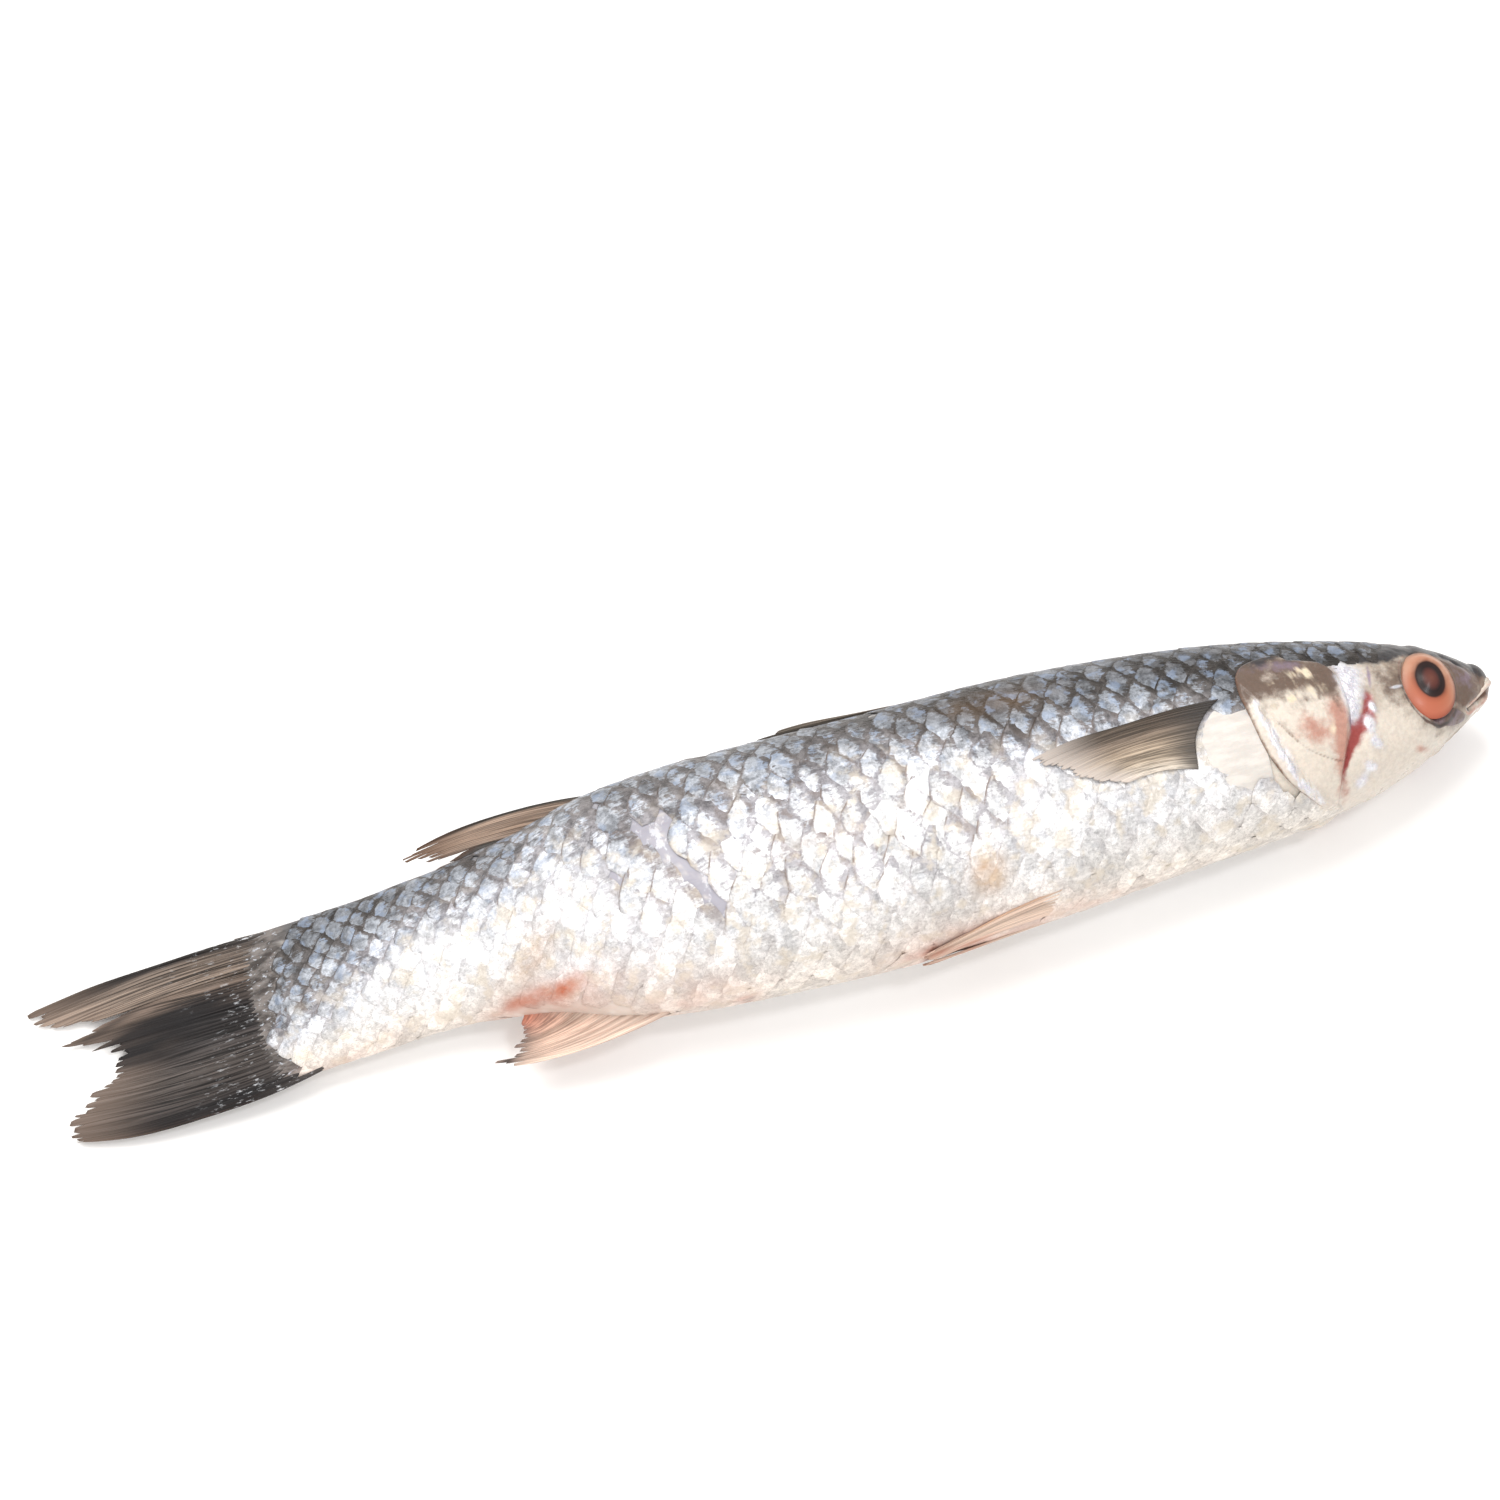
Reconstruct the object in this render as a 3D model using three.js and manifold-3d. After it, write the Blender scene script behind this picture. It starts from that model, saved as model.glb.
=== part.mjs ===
// A whole raw grey mullet, lying on its left side on a flat surface, with its fins folded as they fall.
//
// Millimetres, +Z up. The snout points along +X and the back along +Y, so the right flank faces up and
// the surface under the fish is z = 0. The origin is at the bottom centre of the whole fish.
// Sections of the fish are superellipses across X: "depth" runs from belly to back (Y) and "width" from
// flank to flank (Z).
import * as THREE from "three";
import { mergeVertices } from "three/addons/utils/BufferGeometryUtils.js";
import Module from "manifold-3d";

const wasm = await Module();
wasm.setup();

// Driving dimensions
const TOTAL_LENGTH = 300;
const SNOUT_X = TOTAL_LENGTH / 2;
const TAIL_TIP_X = -TOTAL_LENGTH / 2;
const SNOUT_CAP = 1.6; // length of the rounded tip of the snout
const GAP = 0.3; // clearance between touching pieces
const FIN_THICKNESS = 1.2;
const PAIRED_FIN_THICKNESS = 0.8;
const COVER_THICKNESS = 1.0;
const RINGS = 52; // sections along the body
const SIDES = 32; // points round one section
const CURVE_STEPS = 8; // straight pieces in one curved stretch of an outline
const RING_CROWDING = 1.25;
const SNOUT_CAP_TURNS = [30, 60]; // degrees at which the cap has a section
const EYE_SIDES = 24;
const PRISM_HEIGHT = 30; // outlines on the skin are cut by prisms at least this tall
const BITE = 3; // how far a midline fin's plate starts inside the skin before it is cut back

// Sections of head and trunk, from the tail's root to the snout: position along the fish, half depth,
// half width, height of the mid-plane above the surface, and how far the section's middle lies towards
// the back. "square" is the superellipse exponent, 2 being an ellipse; the top of the head is flatter.
const SECTIONS = [
  { x: -98, depth: 15.6, width: 3.2, height: 6.6, back: 1.7, square: 2.0 },
  { x: -82, depth: 15.3, width: 6.2, height: 7.8, back: 2.2, square: 2.0 },
  { x: -66, depth: 15.6, width: 8.8, height: 10.0, back: 2.9, square: 2.0 },
  { x: -48, depth: 18.3, width: 12.0, height: 13.2, back: 2.2, square: 2.0 },
  { x: -30, depth: 23.1, width: 15.8, height: 16.2, back: 0.9, square: 2.05 },
  { x: -10, depth: 24.7, width: 18.4, height: 17.7, back: 0.2, square: 2.1 },
  { x: 20, depth: 25.1, width: 19.4, height: 18.4, back: -0.6, square: 2.15 },
  { x: 50, depth: 24.6, width: 17.9, height: 19.1, back: 0.0, square: 2.15 },
  { x: 80, depth: 22.3, width: 17.0, height: 18.8, back: 0.4, square: 2.15 },
  { x: 100, depth: 20.0, width: 16.2, height: 18.3, back: 0.0, square: 2.2 },
  { x: 118, depth: 16.5, width: 14.9, height: 17.4, back: -0.5, square: 2.25 },
  { x: 131, depth: 12.6, width: 12.3, height: 16.7, back: -0.1, square: 2.25 },
  { x: 140, depth: 8.4, width: 9.4, height: 16.3, back: 0.4, square: 2.2 },
  { x: 145.5, depth: 5.3, width: 6.8, height: 16.1, back: 0.3, square: 2.1 },
  { x: SNOUT_X - SNOUT_CAP, depth: 3.4, width: 4.4, height: 16.0, back: 0.1, square: 2.0 },
];

// Outlines of fins and covers. Each point is (along the fish, towards the back), seen square on; the
// pelvic fins' are (along the fish, out from the mid-plane), seen from the belly. A "bow" is the control
// point of a curved stretch.
const TAIL_FIN = {
  upperRoot: [-98 - GAP, 16.9],
  upperBow: [-125, 16.4],
  upperTip: [TAIL_TIP_X, 12],
  upperLobeBow: [-139, 7],
  fork: [-133, 0.2],
  lowerLobeBow: [-139, -8],
  lowerTip: [-146.5, -14.5],
  lowerBow: [-122, -17.5],
  lowerRoot: [-98 - GAP, -13.7],
  droop: 0.1, // clearance under the tips
};
const SPINY_DORSAL = { frontX: 43, rearX: 2, slope: 6, rise: 1.5 };
const SOFT_DORSAL = { frontX: -25, bow: [-46, 27.2], tip: [-69, 24.5], lowTip: [-64, 18.8], rearX: -48 };
const ANAL = { frontX: -22, bow: [-46, -27], tip: [-61, -21.5], rearX: -55 };
const PECTORAL = {
  upperRoot: [93, 5.6],
  upperBow: [70, 5.4],
  tip: [52, -0.2],
  lowerBow: [66, -7.2],
  lowerRoot: [80, -7.4],
  rootBow: [91, -3],
};
const PELVIC = {
  innerRoot: [61, 0.8],
  outerRoot: [59, 8.5],
  outerBow: [42, 9],
  tip: [23, 3],
  innerBow: [40, 0.8],
};
const COVER = {
  frontTop: [116.5, 6],
  top: [110, 10.8],
  rearTop: [98.5, 11.4],
  rearUpperBow: [95.6, 3],
  rear: [97, -7],
  rearLowerBow: [98.8, -14.5],
  rearBottom: [106, -17.9],
  bottom: [112, -24],
  frontBottom: [114, -24],
  frontBow: [118.5, -6],
};
const EYE = { x: 134.8, y: -0.6, radius: 6.4, bulge: 3.4, proud: 1.1 };

/** A monotone cubic through (xs, ys): each knot's slope is the harmonic mean of its neighbours. */
function smoothCurve(xs, ys) {
  const steps = xs.slice(1).map((x, i) => (ys[i + 1] - ys[i]) / (x - xs[i]));
  const slopes = xs.map((_, i) => {
    if (i === 0) return steps[0];
    if (i === xs.length - 1) return steps[i - 1];
    const [before, after] = [steps[i - 1], steps[i]];
    return before * after <= 0 ? 0 : (2 * before * after) / (before + after);
  });
  return (x) => {
    let i = 0;
    while (i < xs.length - 2 && x > xs[i + 1]) i++;
    const span = xs[i + 1] - xs[i];
    const t = (x - xs[i]) / span;
    const rise = t * t * (3 - 2 * t);
    const leave = t * (1 - t) ** 2;
    const arrive = t * t * (t - 1);
    return ys[i] * (1 - rise) + ys[i + 1] * rise + span * (slopes[i] * leave + slopes[i + 1] * arrive);
  };
}

const along = SECTIONS.map((s) => s.x);
const curveOf = (key) => smoothCurve(along, SECTIONS.map((s) => s[key]));
const depthAt = curveOf("depth");
const widthAt = curveOf("width");
const heightAt = curveOf("height");
const backAt = curveOf("back");
const squareAt = curveOf("square");
const crestAt = (x) => backAt(x) + depthAt(x);
const keelAt = (x) => backAt(x) - depthAt(x);

/** The point of the body's skin at x and angle: 0 at the back, a quarter turn at the right flank. */
function skinPoint(x, angle, grow = 0, shrink = 1) {
  const power = 2 / squareAt(x);
  const part = (v) => Math.sign(v) * Math.abs(v) ** power;
  const y = backAt(x) + (depthAt(x) + grow) * shrink * part(Math.cos(angle));
  const z = heightAt(x) + (widthAt(x) + grow) * shrink * part(Math.sin(angle));
  return new THREE.Vector3(x, y, z);
}

/** The body's closed loft, its skin moved out by grow. */
function bodyGeometry(grow = 0) {
  const first = along[0];
  const last = along[along.length - 1];
  const rings = [];
  for (let i = 0; i <= RINGS; i++) {
    // Sections stand closer together towards the snout.
    const share = 1 - (1 - i / RINGS) ** RING_CROWDING;
    rings.push({ x: first + (last - first) * share, shrink: 1 });
  }
  for (const turn of SNOUT_CAP_TURNS) {
    const a = THREE.MathUtils.degToRad(turn);
    rings.push({ x: last + SNOUT_CAP * Math.sin(a), shrink: Math.cos(a) });
  }
  const corners = [];
  for (const ring of rings) {
    // Past the last section the section keeps its shape and only shrinks.
    const held = Math.min(ring.x, last);
    for (let j = 0; j < SIDES; j++) {
      const p = skinPoint(held, (j / SIDES) * 2 * Math.PI, grow, ring.shrink);
      corners.push(ring.x, p.y, p.z);
    }
  }
  const ends = corners.length / 3;
  corners.push(first - grow, backAt(first), heightAt(first));
  corners.push(SNOUT_X + grow, backAt(last), heightAt(last));
  const faces = [];
  for (let i = 0; i < rings.length - 1; i++) {
    for (let j = 0; j < SIDES; j++) {
      const k = (j + 1) % SIDES;
      const [a, b, c, d] = [i * SIDES + j, i * SIDES + k, (i + 1) * SIDES + k, (i + 1) * SIDES + j];
      faces.push(a, b, c, a, c, d);
    }
  }
  const lastRing = (rings.length - 1) * SIDES;
  for (let j = 0; j < SIDES; j++) {
    const k = (j + 1) % SIDES;
    faces.push(ends, k, j);
    faces.push(ends + 1, lastRing + j, lastRing + k);
  }
  const geometry = new THREE.BufferGeometry();
  geometry.setAttribute("position", new THREE.Float32BufferAttribute(corners, 3));
  geometry.setIndex(faces);
  return geometry;
}

/** A three.js geometry as a manifold-3d solid. */
function solidOf(geometry) {
  const bare = geometry.clone();
  bare.deleteAttribute("normal");
  bare.deleteAttribute("uv");
  const merged = mergeVertices(bare, 1e-4);
  const vertProperties = new Float32Array(merged.attributes.position.array);
  const triVerts = new Uint32Array(merged.index.array);
  return new wasm.Manifold(new wasm.Mesh({ numProp: 3, vertProperties, triVerts }));
}

/** A manifold-3d solid as a three.js geometry. */
function geometryOf(solid) {
  const mesh = solid.getMesh();
  const geometry = new THREE.BufferGeometry();
  geometry.setAttribute("position", new THREE.BufferAttribute(new Float32Array(mesh.vertProperties), 3));
  geometry.setIndex(new THREE.BufferAttribute(new Uint32Array(mesh.triVerts), 1));
  return geometry;
}

/** The largest separate body of a solid. */
function largestPiece(solid) {
  return solid.decompose().reduce((best, piece) => (piece.volume() > best.volume() ? piece : best));
}

/** A flat outline in (x, y) made into a plate of this thickness, standing on z = bottom. */
function plate(outline, bottom, thickness) {
  const geometry = new THREE.ExtrudeGeometry(outline, {
    depth: thickness,
    bevelEnabled: false,
    curveSegments: CURVE_STEPS,
  });
  return geometry.translate(0, 0, bottom);
}

const skin = solidOf(bodyGeometry());
const clearSkin = solidOf(bodyGeometry(GAP));

/** A layer of this thickness that lies on the skin, inside the given prism. */
function skinLayer(prism, thickness) {
  const layer = solidOf(bodyGeometry(GAP + thickness)).subtract(clearSkin);
  return geometryOf(largestPiece(layer.intersect(solidOf(prism))));
}

/** The same layer on the other flank: mirrored in the fish's mid-plane, with its faces turned back. */
function otherFlank(geometry) {
  const mirrored = geometry.clone();
  const at = mirrored.attributes.position;
  for (let i = 0; i < at.count; i++) at.setZ(i, 2 * heightAt(at.getX(i)) - at.getZ(i));
  const index = mirrored.index.array;
  for (let i = 0; i < index.length; i += 3) [index[i + 1], index[i + 2]] = [index[i + 2], index[i + 1]];
  return mirrored;
}

/** A fin that stands on the fish's back or belly: a plate cut back to clear the skin. */
function midlineFin(outline, height) {
  const raw = plate(outline, height - FIN_THICKNESS / 2, FIN_THICKNESS);
  return geometryOf(largestPiece(solidOf(raw).subtract(clearSkin)));
}

function tailFin() {
  const f = TAIL_FIN;
  const outline = new THREE.Shape();
  outline.moveTo(...f.lowerRoot);
  outline.lineTo(...f.upperRoot);
  outline.quadraticCurveTo(...f.upperBow, ...f.upperTip);
  outline.quadraticCurveTo(...f.upperLobeBow, ...f.fork);
  outline.quadraticCurveTo(...f.lowerLobeBow, ...f.lowerTip);
  outline.quadraticCurveTo(...f.lowerBow, ...f.lowerRoot);
  const flat = plate(outline, -FIN_THICKNESS / 2, FIN_THICKNESS);
  // The fin droops from the tail's root until its tips lie on the surface.
  const rootX = f.upperRoot[0];
  const tipHeight = FIN_THICKNESS / 2 + f.droop;
  const at = flat.attributes.position;
  for (let i = 0; i < at.count; i++) {
    const share = (at.getX(i) - TAIL_TIP_X) / (rootX - TAIL_TIP_X);
    at.setZ(i, at.getZ(i) + THREE.MathUtils.lerp(tipHeight, heightAt(rootX), share));
  }
  return flat;
}

/** The spines lie folded in a low ridge along the back. */
function spinyDorsalFin() {
  const f = SPINY_DORSAL;
  const outline = new THREE.Shape();
  outline.moveTo(f.frontX, crestAt(f.frontX) - BITE);
  outline.lineTo(f.frontX, crestAt(f.frontX) + GAP);
  outline.lineTo(f.frontX - f.slope, crestAt(f.frontX - f.slope) + f.rise);
  outline.lineTo(f.rearX + f.slope, crestAt(f.rearX + f.slope) + f.rise);
  outline.lineTo(f.rearX, crestAt(f.rearX) + f.rise / 2 + GAP);
  outline.lineTo(f.rearX, crestAt(f.rearX) - BITE);
  return midlineFin(outline, heightAt((f.frontX + f.rearX) / 2));
}

function softDorsalFin() {
  const f = SOFT_DORSAL;
  const outline = new THREE.Shape();
  outline.moveTo(f.frontX, crestAt(f.frontX) - BITE);
  outline.lineTo(f.frontX, crestAt(f.frontX) + GAP);
  outline.quadraticCurveTo(...f.bow, ...f.tip);
  outline.lineTo(...f.lowTip);
  outline.lineTo(f.rearX, crestAt(f.rearX) - BITE);
  return midlineFin(outline, heightAt(f.rearX));
}

function analFin() {
  const f = ANAL;
  const outline = new THREE.Shape();
  outline.moveTo(f.frontX, keelAt(f.frontX) + BITE);
  outline.lineTo(f.rearX, keelAt(f.rearX) + BITE);
  outline.lineTo(f.rearX, keelAt(f.rearX) - GAP);
  outline.lineTo(...f.tip);
  outline.quadraticCurveTo(...f.bow, f.frontX, keelAt(f.frontX) - GAP);
  return midlineFin(outline, heightAt((f.frontX + f.rearX) / 2));
}

/** The right pectoral fin lies back along the flank. */
function pectoralFin() {
  const f = PECTORAL;
  const outline = new THREE.Shape();
  outline.moveTo(...f.upperRoot);
  outline.quadraticCurveTo(...f.upperBow, ...f.tip);
  outline.quadraticCurveTo(...f.lowerBow, ...f.lowerRoot);
  outline.quadraticCurveTo(...f.rootBow, ...f.upperRoot);
  return skinLayer(plate(outline, heightAt(f.upperRoot[0]), PRISM_HEIGHT), PAIRED_FIN_THICKNESS);
}

/** The right pelvic fin lies back along the belly, so its outline is drawn from below the belly. */
function pelvicFin() {
  const f = PELVIC;
  const outline = new THREE.Shape();
  outline.moveTo(...f.innerRoot);
  outline.lineTo(...f.outerRoot);
  outline.quadraticCurveTo(...f.outerBow, ...f.tip);
  outline.quadraticCurveTo(...f.innerBow, ...f.innerRoot);
  const prism = plate(outline, 0, PRISM_HEIGHT);
  prism.rotateX(Math.PI / 2); // (x, out) becomes (x, z), and the prism runs towards -Y
  const middleX = (f.innerRoot[0] + f.tip[0]) / 2;
  prism.translate(0, backAt(middleX) - depthAt(middleX) / 4, heightAt(middleX));
  return skinLayer(prism, PAIRED_FIN_THICKNESS);
}

/** The right gill cover: its front edge is the cheek's, and its rear edge curves forward to the throat. */
function gillCover() {
  const f = COVER;
  const outline = new THREE.Shape();
  outline.moveTo(...f.frontTop);
  outline.lineTo(...f.top);
  outline.lineTo(...f.rearTop);
  outline.quadraticCurveTo(...f.rearUpperBow, ...f.rear);
  outline.quadraticCurveTo(...f.rearLowerBow, ...f.rearBottom);
  outline.lineTo(...f.bottom);
  outline.lineTo(...f.frontBottom);
  outline.quadraticCurveTo(...f.frontBow, ...f.frontTop);
  return skinLayer(plate(outline, heightAt(f.rear[0]) + 1, PRISM_HEIGHT), COVER_THICKNESS);
}

/** An eyeball flattened across the head and turned to lie along the skin; grow makes its socket. */
function eyeball(grow = 0) {
  const f = EYE;
  const step = 0.5;
  const angle = Math.acos((f.y - backAt(f.x)) / depthAt(f.x));
  const slope = (skinPoint(f.x - step, angle).z - skinPoint(f.x + step, angle).z) / (2 * step);
  const ball = new THREE.SphereGeometry(1, EYE_SIDES, EYE_SIDES / 2);
  ball.scale(f.radius + grow, f.radius + grow, f.bulge + grow);
  ball.rotateY(Math.atan(slope));
  return ball.translate(f.x, f.y, skinPoint(f.x, angle).z + f.proud - f.bulge);
}

/** Head and trunk, flattened where they rest, with a socket for each eye. */
function body() {
  const room = new THREE.BoxGeometry(TOTAL_LENGTH * 2, TOTAL_LENGTH, TOTAL_LENGTH);
  room.translate(0, 0, TOTAL_LENGTH / 2);
  const sockets = [eyeball(GAP), otherFlank(eyeball(GAP))];
  const flattened = skin.intersect(solidOf(room));
  return geometryOf(sockets.reduce((solid, socket) => solid.subtract(solidOf(socket)), flattened));
}

const FINISHES = {
  skin: new THREE.MeshStandardMaterial({ color: 0xb9bfc8, roughness: 0.35, metalness: 0.3 }),
  cover: new THREE.MeshStandardMaterial({ color: 0xd8c3ae, roughness: 0.3, metalness: 0.2 }),
  eye: new THREE.MeshStandardMaterial({ color: 0xc8694a, roughness: 0.1, metalness: 0 }),
  darkFin: new THREE.MeshStandardMaterial({ color: 0x4a4540, roughness: 0.5, metalness: 0 }),
  paleFin: new THREE.MeshStandardMaterial({ color: 0xe3c8b8, roughness: 0.5, metalness: 0 }),
};

const fish = new THREE.Group();

function add(name, geometry, finish) {
  const mesh = new THREE.Mesh(geometry, finish);
  mesh.name = name;
  fish.add(mesh);
}

add("body", body(), FINISHES.skin);
const paired = [
  ["gill_cover", gillCover(), FINISHES.cover],
  ["eye", eyeball(), FINISHES.eye],
  ["pectoral_fin", pectoralFin(), FINISHES.darkFin],
  ["pelvic_fin", pelvicFin(), FINISHES.paleFin],
];
for (const [name, geometry, finish] of paired) {
  add(`right_${name}`, geometry, finish);
  add(`left_${name}`, otherFlank(geometry), finish);
}
add("spiny_dorsal_fin", spinyDorsalFin(), FINISHES.darkFin);
add("soft_dorsal_fin", softDorsalFin(), FINISHES.darkFin);
add("anal_fin", analFin(), FINISHES.paleFin);
add("tail_fin", tailFin(), FINISHES.darkFin);

// The origin is at the bottom centre of the whole fish.
const box = new THREE.Box3().setFromObject(fish);
fish.position.set(-(box.min.x + box.max.x) / 2, -(box.min.y + box.max.y) / 2, -box.min.z);

export default fish;
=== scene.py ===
"""A whole raw grey mullet, lying on its left side on a pale surface.

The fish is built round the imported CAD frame: +X is the snout, +Y the back and +Z the right flank.
Shapes are worked out in millimetres in the frame's own axes and become metres when a mesh is made.
A place on the skin is (x, down): x along the fish, and down the distance from the ridge of the back to the
point, measured round the body's surface. The two flanks mirror each other.
"""
import sys
import logging
from dataclasses import dataclass, field
from enum import Enum
from typing import Callable, Sequence

import bpy
import numpy as np
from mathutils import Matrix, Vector


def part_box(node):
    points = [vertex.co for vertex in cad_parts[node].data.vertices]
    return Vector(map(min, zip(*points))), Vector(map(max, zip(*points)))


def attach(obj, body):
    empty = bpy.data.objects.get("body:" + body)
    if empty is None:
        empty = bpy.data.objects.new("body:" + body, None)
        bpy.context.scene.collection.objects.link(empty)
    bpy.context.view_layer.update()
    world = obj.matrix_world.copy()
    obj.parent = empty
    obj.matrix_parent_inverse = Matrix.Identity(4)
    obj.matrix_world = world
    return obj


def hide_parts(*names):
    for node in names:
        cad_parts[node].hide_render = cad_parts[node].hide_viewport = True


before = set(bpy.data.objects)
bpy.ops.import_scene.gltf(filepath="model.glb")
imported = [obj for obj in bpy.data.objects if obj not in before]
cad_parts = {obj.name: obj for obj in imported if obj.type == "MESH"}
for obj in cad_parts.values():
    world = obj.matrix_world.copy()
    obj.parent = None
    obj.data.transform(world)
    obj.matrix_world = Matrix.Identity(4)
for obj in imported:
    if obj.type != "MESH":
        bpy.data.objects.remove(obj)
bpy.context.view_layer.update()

MM = 0.001
BODY = "root"
LOWEST = 0.02  # mm between the table and the lowest point of a piece
LATTICE = 128  # steps before value_noise repeats
Array = np.ndarray
Curve = Callable[[Array], Array]
Socket = bpy.types.NodeSocket
log = logging.getLogger("mullet")


class Flank(Enum):
    """The two sides of the fish: the sign of their turn round the body, and their name."""

    RIGHT = 1
    LEFT = -1

    @property
    def label(self) -> str:
        """The word that a piece's name starts with."""
        return self.name.lower()


# ---------------------------------------------------------------- numbers and curves


def curve(knots: Sequence[Sequence[float]]) -> Curve:
    """A smooth curve that never overshoots its knots.

    Each knot's slope is the harmonic mean of the slopes on its two sides, or 0 where they differ in sign,
    and between two knots the curve is the cubic with those slopes. Beyond the knots it holds its end values.

    Args:
        knots: pairs of place and value, with rising places.

    Returns:
        A function from an array of places to an array of values.
    """
    xs, ys = np.asarray(knots, float).T
    steps = np.diff(ys) / np.diff(xs)
    before, after = steps[:-1], steps[1:]
    total = np.where(before + after == 0, 1, before + after)
    inner = np.where(before * after <= 0, 0, 2 * before * after / total)
    slopes = np.concatenate([steps[:1], inner, steps[-1:]])

    def at(x: Array) -> Array:
        x = np.clip(x, xs[0], xs[-1])
        i = np.clip(np.searchsorted(xs, x) - 1, 0, len(xs) - 2)
        span = xs[i + 1] - xs[i]
        t = (x - xs[i]) / span
        rise = t * t * (3 - 2 * t)
        bend = slopes[i] * t * (1 - t) ** 2 + slopes[i + 1] * t * t * (t - 1)
        return ys[i] * (1 - rise) + ys[i + 1] * rise + span * bend

    return at


def ease(low: float, high: float, x: Array) -> Array:
    """0 up to low, 1 from high, and a smooth step between; it falls where low is above high."""
    t = np.clip((x - low) / (high - low), 0, 1)
    return t * t * (3 - 2 * t)


def mix(a: Array, b: Array, share: Array) -> Array:
    """a where share is 0 and b where it is 1."""
    return a + (b - a) * share


def value_noise(a: Array, b: Array, seed: int) -> Array:
    """Smooth noise from -1 to 1: random numbers on a lattice of step 1, eased between its corners.

    Args:
        a: first coordinate, in lattice steps.
        b: second coordinate, in lattice steps.
        seed: which lattice.

    Returns:
        The noise at each point.
    """
    table = np.random.default_rng(seed).uniform(-1, 1, (LATTICE, LATTICE))
    i, j = np.floor(a).astype(int), np.floor(b).astype(int)
    u, v = a - i, b - j
    u, v = u * u * (3 - 2 * u), v * v * (3 - 2 * v)

    def corner(di: int, dj: int) -> Array:
        return table[(i + di) % LATTICE, (j + dj) % LATTICE]

    return mix(mix(corner(0, 0), corner(1, 0), u), mix(corner(0, 1), corner(1, 1), u), v)


def rough_noise(a: Array, b: Array, seed: int, octaves: int = 3) -> Array:
    """Value noise with finer copies of itself added: each has twice the detail and half the height."""
    layers = [value_noise(a * 2**k, b * 2**k, seed + k) / 2**k for k in range(octaves)]
    return np.sum(layers, axis=0)


def near_path(x: Array, down: Array, path: Sequence[Sequence[float]]) -> tuple[Array, Array, Array]:
    """How each point lies against a smooth path through named places.

    The path is cut into short straight pieces, each point is dropped onto the nearest piece, and the sign
    says on which side of it the point lies.

    Args:
        x: places along the fish.
        down: places round the body.
        path: the path's places, (x, down) each.

    Returns:
        Distance to the path, the share of the path passed (0 to 1), and the side (+1 on its left).
    """
    knots = np.asarray(path, float)
    rank = np.arange(len(knots))
    fine = np.linspace(0, len(knots) - 1, 12 * len(knots))
    line = np.stack([curve(np.stack([rank, knots[:, k]], 1))(fine) for k in (0, 1)], -1)
    start, step = line[:-1], np.diff(line, axis=0)
    point = np.stack([x, down], -1)[..., None, :]
    share = np.clip(((point - start) * step).sum(-1) / (step**2).sum(-1), 0, 1)
    off = point - (start + share[..., None] * step)
    far = np.hypot(off[..., 0], off[..., 1])
    best = far.argmin(-1)
    pick = best[..., None]
    cross = step[:, 0] * off[..., 1] - step[:, 1] * off[..., 0]
    side = np.sign(np.take_along_axis(cross, pick, -1)[..., 0])
    passed = (best + np.take_along_axis(share, pick, -1)[..., 0]) / len(step)
    return np.take_along_axis(far, pick, -1)[..., 0], passed, side


@dataclass(frozen=True)
class Spot:
    """A soft-edged oval mark on the skin, turned by slant degrees and fading as a bell curve."""

    x: float
    down: float
    length: float
    height: float
    slant: float = 0
    strength: float = 1

    def at(self, x: Array, down: Array) -> Array:
        """The mark's strength at each point."""
        a = np.radians(self.slant)
        dx, dy = x - self.x, down - self.down
        along, across = dx * np.cos(a) + dy * np.sin(a), dy * np.cos(a) - dx * np.sin(a)
        return self.strength * np.exp(-((along / self.length) ** 2) - (across / self.height) ** 2)


def spots_at(spots: Sequence[Spot], x: Array, down: Array) -> Array:
    """All the marks together, at most 1."""
    return np.minimum(sum(spot.at(x, down) for spot in spots), 1)


# ---------------------------------------------------------------- meshes


def make_mesh(name: str, points: Array, faces: Sequence[Array], marks: dict[str, Array]) -> bpy.types.Object:
    """A smooth-shaded mesh object at the origin.

    Args:
        name: the piece's name.
        points: its points in millimetres, in an array whose last axis is x, y, z.
        faces: arrays of point numbers, one array for each number of corners.
        marks: named values, one per point, kept as attributes for the materials.

    Returns:
        The object.
    """
    flat = points.reshape(-1, 3) * MM
    corners = np.concatenate([f.ravel() for f in faces])
    counts = np.concatenate([np.full(len(f), f.shape[1]) for f in faces])
    mesh = bpy.data.meshes.new(name)
    mesh.vertices.add(len(flat))
    mesh.vertices.foreach_set("co", flat.astype(np.float32).ravel())
    mesh.loops.add(len(corners))
    mesh.loops.foreach_set("vertex_index", corners.astype(np.int32))
    mesh.polygons.add(len(counts))
    mesh.polygons.foreach_set("loop_start", np.concatenate([[0], np.cumsum(counts)[:-1]]).astype(np.int32))
    mesh.polygons.foreach_set("loop_total", counts.astype(np.int32))
    mesh.polygons.foreach_set("use_smooth", np.ones(len(counts), bool))
    for mark, values in marks.items():
        layer = mesh.attributes.new(mark, "FLOAT", "POINT")
        layer.data.foreach_set("value", np.broadcast_to(values, points.shape[:-1]).astype(np.float32).ravel())
    mesh.update(calc_edges=True)
    mesh.validate()
    piece = bpy.data.objects.new(name, mesh)
    bpy.context.scene.collection.objects.link(piece)
    return piece


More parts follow.
